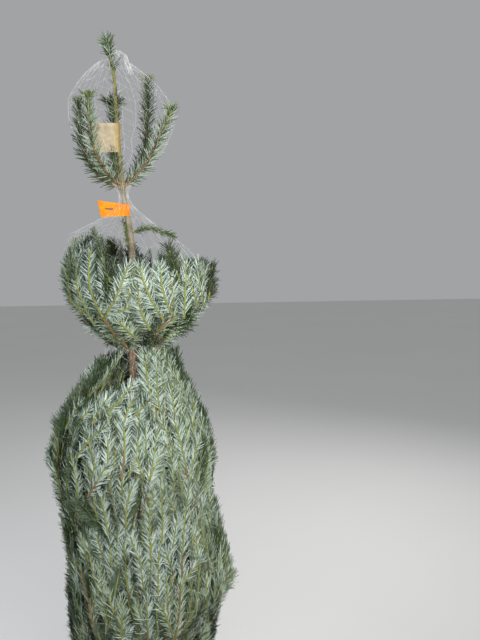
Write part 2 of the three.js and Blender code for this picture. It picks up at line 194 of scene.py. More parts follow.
def finishPiece(piece, slot, *nodes):
    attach(piece, "root")
    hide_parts(*nodes)
    print(piece.name + ":", len(piece.data.polygons), "faces")


def seededRandom(seed):
    state = [seed & 0xFFFFFFFF]

    def draw(low=0.0, high=1.0):
        state[0] = (state[0] * 1664525 + 1013904223) & 0xFFFFFFFF
        return low + (high - low) * state[0] / 4294967296
    return draw


def lerp(a, b, u):
    return a + (b - a) * u


def held(value, low=0, high=1):
    return min(max(value, low), high)


def bell(aside, width):
    return exp(-(aside / width) ** 2)


def valueAt(pairs, height):
    # value at a height on a smooth line through (height, value) pairs
    i = 0
    while i < len(pairs) - 2 and height > pairs[i + 1][0]:
        i += 1

    def slopeAt(k):
        before, after = pairs[max(k - 1, 0)], pairs[min(k + 1, len(pairs) - 1)]
        return (after[1] - before[1]) / (after[0] - before[0])
    low, high = pairs[i], pairs[i + 1]
    span = high[0] - low[0]
    u = held((height - low[0]) / span)
    return ((2 * u ** 3 - 3 * u ** 2 + 1) * low[1] + (u ** 3 - 2 * u ** 2 + u) * span * slopeAt(i)
            + (3 * u ** 2 - 2 * u ** 3) * high[1] + (u ** 3 - u ** 2) * span * slopeAt(i + 1))


def outward(turn):
    return Vector((cos(turn), sin(turn), 0))


def smoothLine(points, count):
    # points evenly along a smooth curve through the given ones
    dense = []
    for i in range(len(points) - 1):
        a, b = points[max(i - 1, 0)], points[i]
        c, d = points[i + 1], points[min(i + 2, len(points) - 1)]
        for k in range(12):
            u = k / 12
            dense.append(0.5 * ((2 * b) + (c - a) * u + (2 * a - 5 * b + 4 * c - d) * u ** 2
                                + (3 * b - a - 3 * c + d) * u ** 3))
    dense.append(points[-1].copy())
    lengths = [0.0]
    for a, b in zip(dense, dense[1:]):
        lengths.append(lengths[-1] + (b - a).length)
    line, k = [], 0
    for i in range(count):
        wanted = lengths[-1] * i / (count - 1)
        while k < len(lengths) - 2 and lengths[k + 1] < wanted:
            k += 1
        part = (wanted - lengths[k]) / max(lengths[k + 1] - lengths[k], 1e-9)
        line.append(dense[k].lerp(dense[k + 1], min(part, 1)))
    return line


def lineLength(line):
    return sum((b - a).length for a, b in zip(line, line[1:]))


# The tree's form, in millimetres, as the solids have it; pairs are a height and a value

trunk = {
    "foot": 6.3, "top": 1886, "footRadius": 31, "topRadius": 3.6, "taper": 1.15, "flare": 4, "flareFade": 55,
    "lean": [(0, 0), (1240, 0), (1500, -1), (1632, -19), (1717, -25), (1830, -30), (1886, -32)],
}
bundle = {
    "reach": [(330, 50), (400, 130), (478, 178), (548, 189), (603, 200), (658, 209), (710, 204),
              (763, 198), (816, 192), (868, 191), (920, 196), (972, 200), (1022, 194), (1071, 180),
              (1120, 158), (1169, 128), (1240, 80), (1300, 56)],
    "shift": [(400, 2), (548, 15), (658, 33), (763, 22), (868, 3), (972, -6), (1120, -4), (1240, 9)],
}
cup = {
    "reach": [(1255, 44), (1290, 120), (1315, 147), (1364, 174), (1412, 184), (1455, 180), (1520, 160)],
    "shift": 12, "foot": 1255, "rim": 1488, "higherLeft": 40, "higherBack": 26, "tucked": 19, "tuckedBelow": 1402,
}
drawnIn = {"from": 1380, "to": 1545, "by": 72}  # the cup's left side, which the net pulls in towards its rim
# Side shoots at nodes: where along a forked shoot, how far they lean out in degrees, how long; spread is how far
# the needles stand off, less where the net presses them along their twigs; dark is where dark upper sides show
whorls = [
    {"name": "lower", "from": 440, "to": 736, "turn": -12, "shoots": (62, 262), "boughHeight": 318,
     "rootRadius": 8, "nodes": ((0.08, 30, 150), (0.48, 20, 130)), "tip": (15, 92), "length": (110, 150),
     "spread": 0.76},
    {"name": "middle", "from": 758, "to": 1000, "turn": 18, "shoots": (44, 214),
     "nodes": ((0.1, 30, 132), (0.52, 20, 112)), "tip": (15, 80), "length": (100, 140), "spread": 0.86},
    {"name": "upper", "from": 1014, "to": 1170, "turn": -12, "shoots": (30, 158), "longTurn": -40, "longer": 0.35,
     "nodes": ((0.12, 28, 96), (0.5, 20, 80)), "tip": (15, 60), "length": (80, 120), "spread": 0.96,
     "dark": {"turn": 228, "width": 30, "share": 0.9, "above": 1120, "below": 9999}},
    {"name": "cup", "from": 1296, "to": 1422, "turn": -48, "shoots": (20, 162), "boughHeight": 1236,
     "rootRadius": 5, "nodes": ((0.05, 40, 126), (0.3, 27, 88)), "length": (96, 130), "spread": 1.12, "wall": 28,
     "dark": {"turn": 190, "width": 120, "share": 0.08, "above": 0, "below": 1368}},
]
boughCount = 6
boughPath = {"bendAt": 0.45, "bendOut": 9, "bendRise": 0.36, "apart": 14}  # from the trunk into a mass
core = {"below": 25, "sunk": 12, "innerRadius": 52, "slant": 0.62}
fork = {"at": 0.9, "depth": 20, "tipDepth": 9, "angle": 24, "sway": 5}
twigRadii = {"axis": (3.4, 2.8), "fork": (2.9, 1.7), "side": (2.2, 1.5), "tip": (2.0, 1.4), "inner": (2.4, 1.6),
             "low": (1.8, 1.2), "crown": (3.6, 2.8), "tuft": (1.6, 1.4), "stem": (2.8, 2.2)}
crownBoughs = [  # pale is where the underside looks
    {"turn": 168, "height": 1632, "reach": 98, "rise": 205, "bow": 1, "tuft": 14, "pale": (0.3, 1, 0)},
    {"turn": 226, "height": 1641, "reach": 98, "rise": 198, "bow": 1, "tuft": 22, "pale": (-0.15, -1, 0)},
    {"turn": 108, "height": 1623, "reach": 66, "rise": 212, "bow": 1, "tuft": 2, "pale": (0, 1, 0.1), "fan": 13},
    {"turn": -22, "height": 1632, "reach": 124, "rise": 192, "bow": 0.15, "tuft": 22, "pale": (0.1, -1, 0)},
    {"turn": 48, "height": 1641, "reach": 98, "rise": 256, "bow": 1, "tuft": 6, "pale": (-0.2, 0.8, 0)},
]
leaderTip = {"bend": -14, "rise": 84}


def trunkCentre(height):
    return Vector((valueAt(trunk["lean"], height), 0, height))


def trunkRadius(height):
    left = max(1 - height / trunk["top"], 0)
    flare = trunk["flare"] * exp(-height / trunk["flareFade"])
    return trunk["topRadius"] + (trunk["footRadius"] - trunk["topRadius"]) * left ** trunk["taper"] + flare


def stretchAt(whorl, turn):
    if "wall" not in whorl:
        return 1
    return 1 + (cup["higherBack"] * sin(turn) - cup["higherLeft"] * cos(turn)) / (cup["rim"] - cup["foot"])


def lifted(whorl, turn, height):
    return cup["foot"] + (height - cup["foot"]) * stretchAt(whorl, turn)


def surfaceAt(whorl, turn, height):
    if "wall" not in whorl:
        return valueAt(bundle["reach"], height) + valueAt(bundle["shift"], height) * cos(turn)
    level = cup["foot"] + (height - cup["foot"]) / stretchAt(whorl, turn)
    pulled = held((height - drawnIn["from"]) / (drawnIn["to"] - drawnIn["from"])) ** 1.6
    return valueAt(cup["reach"], level) + cup["shift"] * cos(turn) - drawnIn["by"] * pulled * max(-cos(turn), 0)


def surfacePoint(whorl, turn, height, below):
    if "wall" in whorl:  # low on the cup the needles stand off, so their shoots lie further in
        below += (cup["tucked"] + 6 * cos(turn)) * held((cup["tuckedBelow"] - height) / 100)
    return trunkCentre(height) + outward(turn) * max(surfaceAt(whorl, turn, height) - below, 12)


def coreReach(whorl, turn, u):
    tuck = 1 - 0.1 * abs(2 * u - 1) ** 3
    height = lifted(whorl, turn, lerp(whorl["from"], whorl["to"], u))
    outer = (surfaceAt(whorl, turn, height) - core["below"]) * tuck
    inner = outer - whorl["wall"] if "wall" in whorl else min(core["innerRadius"], outer * 0.55)
    return outer, inner, height, core["slant"] * (outer - inner)


def coreMiddle(whorl, turn, u, inwards=0, down=0):
    outer, inner, height, drop = coreReach(whorl, turn, u)
    return trunkCentre(height - drop / 2 - down) + outward(turn) * ((outer + inner) / 2 - inwards)


stepAt = namedtuple("stepAt", "at turn height heading depth")


def climb(whorl, turn, height, heading, length, depths, steps=3, straighten=0.72):
    # one shoot that climbs the surface; the net turns it upright as it goes
    path = []
    for i in range(steps + 1):
        depth = lerp(*depths, i / steps)
        path.append(stepAt(surfacePoint(whorl, turn, height, depth), turn, height, heading, depth))
        step = length / steps
        here = surfaceAt(whorl, turn, height)
        slope = (surfaceAt(whorl, turn, height + 5) - here) / 5
        turn += sin(heading) * step / max(here - depths[0], 30)
        height += cos(heading) * step / hypot(1, slope)
        heading *= straighten
    return path


def alongPath(path, u):
    # turn, height, heading and depth part of the way along a climbed shoot
    k = min(int(u * (len(path) - 1)), len(path) - 2)
    part = u * (len(path) - 1) - k
    return [lerp(a, b, part) for a, b in zip(path[k][1:], path[k + 1][1:])]


def spotsOf(path):
    return [step.at for step in path]


# The photographer's view, which also places the twigs that the photo shows one by one
view = {"lens": 35, "sensor": 36, "height": 1.5, "away": 1.522, "pitch": 7.04, "yaw": 9.8, "across": 480,
        "down": 640}


def turnOf(at):
    return atan2(at.y, at.x - trunkCentre(at.z).x)


def surfaceSeenAt(whorl, x, y, depth):
    # the spot on a whorl's surface that shows at a pixel of the photo, found in ever finer steps
    scale = view["lens"] / view["sensor"] * view["down"]
    ray = Vector(((x - view["across"] / 2) / scale, (view["down"] / 2 - y) / scale, -1))
    pitched = Matrix.Rotation(radians(90 - view["pitch"]), 3, "X")
    ray = (Matrix.Rotation(radians(-view["yaw"]), 3, "Z") @ pitched @ ray).normalized()
    at = Vector((0, -view["away"], view["height"])) / mm
    for step in (8.0, -1.0, 0.125):
        for _ in range(240):
            at += ray * step
            reach = hypot(at.y, at.x - trunkCentre(at.z).x)
            inside = reach < surfaceAt(whorl, turnOf(at), at.z) - depth
            if inside == (step > 0) or at.y > 0:
                break
    return at


# Shoots: every needled twig of the tree, with the side that its pale underside faces

growth = {
    "inner": 5, "innerDense": 0.72,  # shoots of earlier years further in, evenly round each mass
    "uneven": (0.9, 1.1),  # how far the length of a shoot differs from its whorl's
    "roll": 34,  # how far a shoot is turned about its own length, in degrees
    "turnedOver": (0.05, 0.5),  # share of shoots that show their dark upper side, at the front and at the sides
    "shadeBelow": 745, "shadeFade": 130,  # painted shade: under this height in mm more and more shoots take the next darker tint, so the tree darkens towards the floor
    "crowded": 0.7,  # a side shoot is left out where other shoots already cover this share of its way
    "shortest": 50,  # a shorter shoot isn't worth filling a bare spot with, in mm
}
# The grid that finds bare spots: cells round, their height in mm, and how far under a spot its shoot starts
room = {"around": 116, "step": 12, "below": 34, "bundle": (384, 1240), "cup": (cup["foot"] + 34, cup["rim"] + 40)}
blueish, fresh, olive, newGrowth, shaded = range(5)  # places in needleTints; shaded is the tint of painted shade
shoots, boughLines, budPlaces, covered = [], [], [], set()


def addShoot(zone, points, radii, tint, roll=0.0, dense=1.0, length=1.0, facing=None, around=False, count=6,
             old=0.0, spread=1.0):
    # a twig with its needles; old is the share of it that is older than a year
    line = smoothLine(points, count)
    faces = []
    for i, at in enumerate(line):
        along = (line[min(i + 1, count - 1)] - line[max(i - 1, 0)]).normalized()
        out = facing.copy() if facing else Vector((at.x - trunkCentre(at.z).x, at.y, 0.0))
        out = (out - along * out.dot(along)).normalized()
        faces.append(Matrix.Rotation(roll, 3, along) @ out)
    # painted shade: low on the tree a growing share of shoots take the next darker tint, and olive ones the shaded
    # tint
    low = held((growth["shadeBelow"] - line[count // 2].z) / growth["shadeFade"], 0, 0.92)
    if len(shoots) * 0.618 % 1 < low:  # steps of the golden ratio deal them out evenly
        tint = shaded if tint == olive and low > 0.6 else min(tint + 1, olive)
    shoots.append({"zone": zone, "line": line, "faces": faces, "radii": radii, "tint": tint,
                   "dense": dense, "needleLength": length, "around": around, "old": old, "spread": spread})
    budPlaces.append((line[-1], (line[-1] - line[-2]).normalized(), radii[1]))


def rollOf(random, turn=0.0, darker=0.0):
    if random() < lerp(*growth["turnedOver"], cos(turn) ** 6) + darker:
        return radians(random(80, 180)) * (1 if random() < 0.5 else -1)
    return radians(growth["roll"]) * (random() + random() - 1) * 1.6


def tintOf(random):
    pick = random()
    return blueish if pick < 0.42 else fresh if pick < 0.8 else olive


def cellsOf(whorl, points):
    # the cells of the room grid that a shoot's needles cover
    cells = set()
    for a, b in zip(points, points[1:]):
        for k in range(6):
            at = a.lerp(b, k / 6)
            column = floor(turnOf(at) / (2 * pi) * room["around"])
            for aside in (-1, 0, 1):
                cells.add(("wall" in whorl, (column + aside) % room["around"], floor(at.z / room["step"])))
    return cells


def zoneOf(whorl, i):
    # three masses of a whorl face the camera, three the back
    return whorl["name"] + ("Front" if i in (0, 4, 5) else "Back")


def zoneAt(whorl, turn):
    return zoneOf(whorl, round((degrees(turn) - whorl["turn"]) / (360 / boughCount)) % boughCount)


def degreesFrom(turn, wanted):
    return (degrees(turn) - wanted + 180) % 360 - 180


def topOf(whorl, turn):
    # how high the tips of a whorl may come; the upper one is parted where the neck shows at the front
    if "wall" in whorl:
        return (lifted(whorl, turn, cup["rim"] + 2) - 30 * max(0, sin(turn)) ** 0.7
                + 24 * min(0, sin(turn)) - 28 * bell(degreesFrom(turn, 165), 35))
    if whorl["name"] == "upper":
        towards = cos(turn - radians(-38))
        return 1212 + 78 * max(0, towards) ** 4 - 76 * bell(degrees(turn) % 360 - 262, 22)
    return whorl["to"] + 150


def darkAt(whorl, end):
    # the upper whorl shows more of its dark side beside the neck, and the cup on its underside
    dark = whorl.get("dark")
    if not dark or not dark["above"] < end.height < dark["below"]:
        return 0
    return dark["share"] * bell(degreesFrom(end.turn, dark["turn"]), dark["width"])


def climbBelowTop(whorl, turn, height, heading, length, *rest):
    # a climb cut short where it would come out above the whorl's top
    path = climb(whorl, turn, height, heading, length, *rest)
    for _ in range(3):
        above = path[-1].height - topOf(whorl, path[-1].turn)
        if above > 0:
            length = max(length - above * 1.05, 20)
            path = climb(whorl, turn, height, heading, length, *rest)
    return path, length


def growMass(whorl, level, i):
    turn = radians(whorl["turn"]) + 2 * pi * i / boughCount
    zone, isCup, spread = zoneOf(whorl, i), "wall" in whorl, whorl["spread"]
    random = seededRandom(100 * (level + 1) + i)
    longer = 1 + whorl.get("longer", 0) * cos(turn - radians(whorl.get("longTurn", 0)))
    stretch = stretchAt(whorl, turn)

    def lengthOf(order):
        return whorl["shoots"][order] * longer * stretch * lerp(*growth["uneven"], random())
    outer, _, height, _ = coreReach(whorl, turn, 0.1)
    rootDepth = surfaceAt(whorl, turn, height) - outer + core["sunk"]
    axis = climb(whorl, turn, height, 0, lengthOf(0), (rootDepth, fork["depth"]))
    forkHeight = lerp(height, axis[-1].height, fork["at"])
    forks = []
    for side in (0, 1, -1):
        heading = side * radians(fork["angle"]) + radians(lerp(-fork["sway"], fork["sway"], random()))
        depths = (fork["depth"] + 1, fork["tipDepth"])
        forks.append(climbBelowTop(whorl, turn, forkHeight, heading, lengthOf(1), depths)[0])

    # the bough from the trunk into its mass
    if "boughHeight" in whorl:
        end = coreMiddle(whorl, turn, 0, 5, 18)
        start = trunkCentre(whorl["boughHeight"] + (i % 2) * boughPath["apart"])
        bend = start.lerp(end, boughPath["bendAt"]) + outward(turn) * boughPath["bendOut"]
        bend.z = lerp(start.z, end.z, boughPath["bendRise"])
        through = [start, bend, end, coreMiddle(whorl, turn, 0.25)]
    else:
        _, inner, low, drop = coreReach(whorl, turn, 0)
        base = low - drop
        through = [trunkCentre(base - 62), trunkCentre(base - 22) + outward(turn) * inner * 0.5,
                   trunkCentre(base + 40) + outward(turn) * (inner + 22)]
    boughLines.append((through + spotsOf(axis)[1:], (whorl.get("rootRadius", 7), 3.2)))

    def offshoot(path, u, side, lean, length, kind, depth):
        fromTurn, fromHeight, heading, fromDepth = alongPath(path, u)
        heading += side * radians(lean * random(0.7, 1.3))
        wanted = length * stretch * longer * random(0.8, 1.15)
        grown = climb(whorl, fromTurn, fromHeight, heading, wanted, (fromDepth + 2, depth), 4, 0.8)
        tint, roll = tintOf(random), rollOf(random, grown[-1].turn, darkAt(whorl, grown[-1]))
        cells = cellsOf(whorl, spotsOf(grown))
        taken = len(cells & covered) / len(cells)
        if grown[-1].height < topOf(whorl, grown[-1].turn) and taken < growth["crowded"]:
            covered.update(cells)
            addShoot(zone, spotsOf(grown), twigRadii[kind], tint, roll, spread=spread)
    addShoot(zone, spotsOf(axis), twigRadii["axis"], tintOf(random), rollOf(random) * 0.4, old=1.0)
    for path in forks:
        covered.update(cellsOf(whorl, spotsOf(path)))
        addShoot(zone, spotsOf(path), twigRadii["fork"], tintOf(random), rollOf(random) * 0.5, count=11,
                 old=0.0 if isCup else 0.35, spread=spread)
        for node, lean, length in whorl["nodes"]:
            for side in (1, -1):
                offshoot(path, node + random(-0.03, 0.03), side, lean, length, "side", random(1, 10))
        for side in (0, 1, -1) if "tip" in whorl else ():
            offshoot(path, 0.97, side if side else random(-0.3, 0.3), *whorl["tip"], "tip", random(1, 8))

    # further in, older shoots stand side by side round the mass
    for k in range(growth["inner"]):
        aside = ((k + 0.5) / growth["inner"] - 0.5) * (2 * pi / boughCount)
        low = lifted(whorl, turn, lerp(whorl["from"], whorl["to"], -0.12 + 0.35 * (k % 2)))
        heading = radians(random(-7, 7))
        length = (whorl["to"] - whorl["from"]) * random(0.9, 1.05) * stretch
        deep = (34, 28) if isCup else (44, 32)
        path = climbBelowTop(whorl, turn + aside, low, heading, length, deep, 4, 0.8)[0]
        roll = radians(random(-35, 35)) + (pi if k % 3 == 0 else 0)
        addShoot(zone, spotsOf(path), twigRadii["inner"], k % 3, roll, dense=growth["innerDense"])
    if "boughHeight" in whorl:  # needles stay on these boughs nearly down to the trunk
        low = smoothLine(through, 12)
        addShoot(zone, low[2:], (0, 0), fresh, pi * (i % 2), dense=0.8, length=0.86, count=9)
        for k, side in ((4, 1), (5, -1), (7, 1), (8, -1)):
            sideways = outward(turn + side * pi / 2)
            tip = low[k] + outward(turn) * 34 + sideways * 30 + up * random(20, 44)
            line = [low[k], low[k].lerp(tip, 0.5) - up * 4, tip]
            addShoot(zone, line, twigRadii["low"], fresh, random(-0.8, 0.8))


def fillRoom(isCup):
    # where a bare spot is left, a shoot comes up from further in and covers it
    random = seededRandom(303 + isCup)
    low, high = room["cup" if isCup else "bundle"]
    members = [w for w in whorls if ("wall" in w) == isCup]
    count = 0
    for level in range(floor(low / room["step"]), floor(high / room["step"])):
        for column in range(room["around"]):
            column = (column * 37 + level * 11) % room["around"]  # goes round in leaps, so no spiral shows
            if (isCup, column, level) in covered:
                continue
            turn = 2 * pi * (column + random(0.3, 0.7)) / room["around"]
            height = (level + 0.5) * room["step"] - room["below"] + random(-8, 8)
            whorl = ([members[0]] + [w for w in members if height > w["from"] - 80])[-1]
            length = random(*whorl["length"])
            heading = radians(random(-24, 24))
            depths = (38, random(8, 22)) if isCup else (26, random(1, 13))
            path, length = climbBelowTop(whorl, turn, height, heading, length, depths, 4, 0.8)
            if length < growth["shortest"]:
                continue
            covered.update(cellsOf(whorl, spotsOf(path)))
            tint, roll = tintOf(random), rollOf(random, turn, darkAt(whorl, path[-1]) + (0.22 if isCup else 0))
            addShoot(zoneAt(whorl, turn), spotsOf(path), twigRadii["side"], tint, roll, spread=whorl["spread"])
            count += 1
    print("filled:", count, "bare spots")


def twig(root, tip, bow=0, thick=(2.9, 2.1), tint=blueish, roll=0, sunk=(9, 3), **looks):
    return {"root": root, "tip": tip, "bow": bow, "thick": thick, "tint": tint, "roll": roll, "sunk": sunk,
            "looks": looks}


# Twigs that the photo shows, by the pixels of their root and tip; bow is how far they swing out between, in pixels
seenTwigs = {
    "lower": [
        twig((128, 541), (132, 487), -4), twig((112, 564), (101, 497), 1), twig((152, 562), (151, 492), -2),
        twig((161, 548), (160, 488), 2), twig((182, 581), (189, 486), -2, old=0.3), twig((192, 545), (203, 503)),
        twig((79, 516), (71, 455), 2, old=0.3), twig((95, 580), (88, 535), -1),
        twig((130, 602), (124, 543), -1, old=0.2), twig((159, 607), (159, 552), -1),
        twig((175, 642), (160, 604), 1), twig((175, 579), (166, 553), old=0.5),
        twig((174, 642), (180, 584), 2, thick=(3.2, 2.6), old=1),
        twig((183, 583), (201, 561), -1), twig((98, 642), (78, 560), tint=olive, old=0.8),
        twig((117, 622), (108, 595)), twig((148, 642), (147, 603), old=0.4), twig((141, 563), (131, 538), -1),
        twig((208, 622), (206, 580)), twig((214, 600), (222, 548), tint=fresh), twig((121, 636), (121, 602), 1),
        twig((72, 600), (72, 545), tint=olive, roll=150), twig((168, 622), (165, 574), 1, sunk=(16, 8)),
    ],
    "middle": [
        twig((76, 460), (104, 428), -3), twig((88, 497), (105, 468), old=0.6),
        twig((121, 479), (124, 428), 2, old=0.4), twig((129, 475), (138, 440), 2), twig((142, 478), (137, 457)),
        twig((142, 514), (157, 430), 2, old=0.4), twig((147, 481), (161, 453), 1), twig((176, 476), (164, 441), 1),
        twig((188, 486), (174, 420), 2, thick=(3, 2.1), old=0.3), twig((190, 484), (201, 436), -2),
        twig((203, 500), (209, 445), tint=fresh), twig((56, 470), (56, 420), 2, tint=olive, roll=160),
        twig((96, 470), (86, 430)), twig((62, 500), (50, 455), 1, roll=140), twig((108, 480), (108, 440)),
        twig((92, 496), (90, 452), -1, sunk=(16, 8)),
    ],
    "upper": [
        twig((88, 396), (120, 357), 3, tint=fresh, roll=110, sunk=(6, 8)),
        twig((79, 400), (101, 361), 3, tint=olive, roll=175),
        twig((116, 400), (124, 364), tint=olive, roll=180, sunk=(16, 20)),
        twig((108, 404), (112, 372), tint=olive, roll=170, sunk=(16, 22)), twig((97, 421), (132, 385), 2),
        twig((153, 408), (144, 352), -1, thick=(3, 2.2)), twig((160, 411), (158, 362), -2),
        twig((166, 392), (161, 338), -3), twig((176, 420), (171, 382), -1), twig((121, 441), (133, 399), -2),
        twig((133, 417), (147, 402)), twig((75, 432), (90, 409), -1), twig((66, 428), (80, 404)),
        twig((184, 393), (176, 352), -1, tint=fresh, roll=150), twig((196, 430), (190, 388)),
        twig((92, 424), (108, 398), -1),
    ],
    "cup": [
        twig((103, 317), (92, 248), -8, thick=(3.4, 2.2), sunk=(5, 0)),
        twig((82, 314), (78, 258), -3, sunk=(8, 3)),
        # painted shade: two turned-over shoots in the shaded tint darken a gap in the cup's front
        twig((99, 318), (101, 276), tint=shaded, roll=180, sunk=(13, 9)),
        twig((106, 306), (108, 268), tint=shaded, roll=180, sunk=(14, 12)),
        twig((110, 281), (101, 247), -1, tint=olive, roll=150),
        twig((71, 300), (79, 242), -6, tint=olive, roll=165, sunk=(4, 0), dense=1.2),
        twig((104, 318), (128, 266), 2, thick=(2.8, 2)), twig((105, 317), (137, 303), 1, length=0.8),
        twig((135, 338), (119, 322), tint=fresh), twig((150, 330), (138, 290), -3),
        twig((163, 319), (139, 266), -3), twig((175, 320), (160, 266), -4), twig((184, 318), (186, 272)),
        twig((198, 305), (185, 261), -1),
        twig((204, 306), (199, 262), -2), twig((208, 300), (212, 266), 1, tint=olive, roll=120),
        twig((94, 324), (76, 280), -2, tint=fresh), twig((180, 282), (168, 247), tint=olive, roll=170),
        twig((119, 347), (103, 318), 2, thick=(4.6, 3.2), tint=olive, sunk=(14, 5), old=1, dense=0.85),
        twig((152, 344), (172, 318), -3, thick=(4.6, 3.2), tint=olive, sunk=(14, 5), old=1, dense=0.85),
        twig((88, 316), (70, 300), tint=olive, length=0.8),
        twig((107, 268), (94, 230), tint=olive, roll=170, sunk=(26, 20), length=0.75, dense=1.3),
    ],
}
for whorl in whorls:
    for row in seenTwigs[whorl["name"]]:
        (x0, y0), (x1, y1) = row["root"], row["tip"]
        aside = Vector((y1 - y0, x0 - x1)).normalized() * row["bow"]
        points = []
        for u in (0, 0.25, 0.5, 0.75, 1):
            swing = 4 * u * (1 - u)
            x, y = lerp(x0, x1, u) - aside.x * swing, lerp(y0, y1, u) - aside.y * swing
            points.append(surfaceSeenAt(whorl, x, y, lerp(*row["sunk"], u)))
        covered.update(cellsOf(whorl, points))
        addShoot(zoneAt(whorl, atan2(points[2].y, points[2].x)), points, row["thick"], row["tint"],
                 radians(row["roll"]), count=8, spread=whorl["spread"], **row["looks"])
for level, whorl in enumerate(whorls):
    for i in range(boughCount):
        growMass(whorl, level, i)
fillRoom(False)
fillRoom(True)

# The top whorl's single boughs, the leader and the two twigs on the bare stem
random = seededRandom(911)
leaderNeedles = [(1650, 1700, fresh, 0.6), (1776, 1838, olive, 1.5), (1838, 1870, fresh, 0.3),
                 (1884, 1918, olive, 0.9)]  # from, to, tint and density, below and above the label
stemTwigs = [  # at its middle a twig has risen by lift, and its end lies run out and end up from its root
    {"height": 1526, "turn": -12, "run": 96, "lift": 9, "end": -10, "needles": 0.62, "pale": (0, 0.5, -1)},
    {"height": 1494, "turn": 178, "run": 10, "lift": 34, "end": 58, "needles": 0.46},
]


def roundShoot(line, tint, dense, length, radii=(0, 0), **looks):
    # needles all round a line of the crown, with a twig of its own where radii say so
    addShoot("crown", line, radii, tint, dense=dense, length=length, around=True, **looks)


for bough in crownBoughs:
    out = outward(radians(bough["turn"]))
    bow, reach, rise, fan = bough["bow"], bough["reach"], bough["rise"], bough.get("fan", 9)
    spots = ((0, -4), (reach * 0.5, rise * lerp(0.31, 0.1, bow)),
             (reach * lerp(0.85, 0.92, bow), rise * lerp(0.78, 0.42, bow)), (reach, rise - bough["tuft"]))
    path = smoothLine([trunkCentre(bough["height"]) + out * r + up * z for r, z in spots], 30)
    bare = round(15 / lineLength(path) * (len(path) - 1))  # the first 15 mm carry no needles
    boughLines.append((path[:bare + 3], (4.2, 3.4)))
    addShoot("crown", path[bare:], twigRadii["crown"], fresh, random(-0.3, 0.3), dense=0.72,
             facing=Vector(bough["pale"]), count=14, spread=1.05, old=0.8)
    roundShoot(path[bare:], olive, 0.5, 0.95, count=14, spread=1.3)
    roundShoot(path[bare:], fresh, 0.3, 0.85, count=14, spread=0.8)
    tint, dense, length = (olive, 2.4, 0.9) if "fan" in bough else (newGrowth, 1.2, 0.62)
    tip = path[-1]
    for side in (-1, 0, 1):  # the tuft at the tip
        away = Vector((side * fan, random(-6, 6), random(4, 9)))
        tuft = [tip - up * (2.4 * fan - 14), tip + away * 0.5, tip + away]
        roundShoot(tuft, tint, dense, length, twigRadii["tuft"], count=4)
for low, high, tint, dense in leaderNeedles:
    roundShoot([trunkCentre(lerp(low, high, k / 3)) for k in range(4)], tint, dense, 0.8, spread=1.3)
root = trunkCentre(trunk["top"])
bend, rise = leaderTip["bend"], leaderTip["rise"]
middle, top = root + Vector((bend * 0.5, 0, rise * 0.4)), root + Vector((bend, 0, rise - 10))
roundShoot([root - up * 8, middle, top], olive, 0.6, 0.6, twigRadii["crown"])
for k in range(7):  # the ring of resting buds under the green tip
    away = outward(k * 0.9)
    budPlaces.append((top - up * (22 + 3 * (k % 3)) + away * 4, (away + up).normalized(), 2.8))
roundShoot([middle, middle.lerp(top, 0.5), top], fresh, 2.6, 0.84, spread=1.3)
for side in (-1, 1):
    line = [top - up * 18, top + Vector((side * 6, 2, -6)), top + Vector((side * 9, 0, 4))]
    roundShoot(line, newGrowth, 1.2, 0.6, (1.8, 1.5), count=4)
root = trunkCentre(1652)  # a short dark shoot beside the leader
addShoot("crown", [root, root + Vector((-14, -4, 28)), root + Vector((-18, -5, 54))], twigRadii["tip"], fresh,
         dense=0.9, length=0.9, facing=Vector((0, 1, 0)))
for t in stemTwigs:
    out = outward(radians(t["turn"]))
    root = trunkCentre(t["height"]) + out * trunkRadius(t["height"])
    line = [root, root + out * t["run"] * 0.45 + up * t["lift"], root + out * t["run"] + up * t["end"]]
    addShoot("crown", line, twigRadii["stem"], newGrowth, dense=1.3, length=t["needles"],
             facing=Vector(t.get("pale", out)))
    roundShoot(line, fresh, 2.1, t["needles"])
print("grown:", len(shoots), "shoots,", round(sum(lineLength(s["line"]) for s in shoots) / 1000, 1), "m in all")


# Needles: waxy cuticle above, wax-banded underside below, in tints dealt out by shoot; the last tint, shaded, is
# painted shade: a darker copy of the needle colours

needleTints = [
    {"name": "blueish", "upper": "#3b5337", "upperDark": "#1f311d", "band": "#d3e0da", "under": "#93a99c"},
    {"name": "fresh", "upper": "#40562f", "upperDark": "#213318", "band": "#cbd9ca", "under": "#899f83"},
    {"name": "olive", "upper": "#374526", "upperDark": "#1b2512", "band": "#a9b59d", "under": "#6d7d5d"},
    {"name": "newGrowth", "upper": "#6f8238", "upperDark": "#51662b", "band": "#b4c08c", "under": "#8a9a5e"},
    # painted shade: the same needle colours made darker, standing in for the shade between and under the needles
    {"name": "shaded", "upper": "#2b3c23", "upperDark": "#151f10", "band": "#6b7e68", "under": "#41533d"},
]
needle = {  # in mm and degrees; lean is from the twig, the other angles from the plane that the needles lie in
    "length": 29, "width": 2.2, "tipWidth": 0.9, "twist": 0.35, "spacing": 0.63,
    "lean": (25, 60), "upperLean": (14, 46), "flat": (-20, 30), "steep": (28, 90), "around": (-90, 90),
    "upperShare": 0.4, "shadedShare": 0.32,  # shares that stand up off the twig, and that take the last tint, the painted shade
    "size": (0.72, 1.1),
}
perPoint = ("dense", "needleLength", "tint", "around", "spread")  # what the needles need to know of their shoot


def waxBands(tint):
    def made(tree):
        across = axisOf(tree, outOf(tree, "ShaderNodeUVMap", uv_map="acrossNeedle"), 0)
        off = outOf(tree, "ShaderNodeMath", {0: across, 1: 0.5}, operation="SUBTRACT")
        off = outOf(tree, "ShaderNodeMath", {0: off}, operation="ABSOLUTE")
        band = outOf(tree, "ShaderNodeMath", {0: off, 1: 0.24, 2: 0.16}, operation="COMPARE")
        return mixTwo(tree, band, tint["under"], tint["band"])
    return made


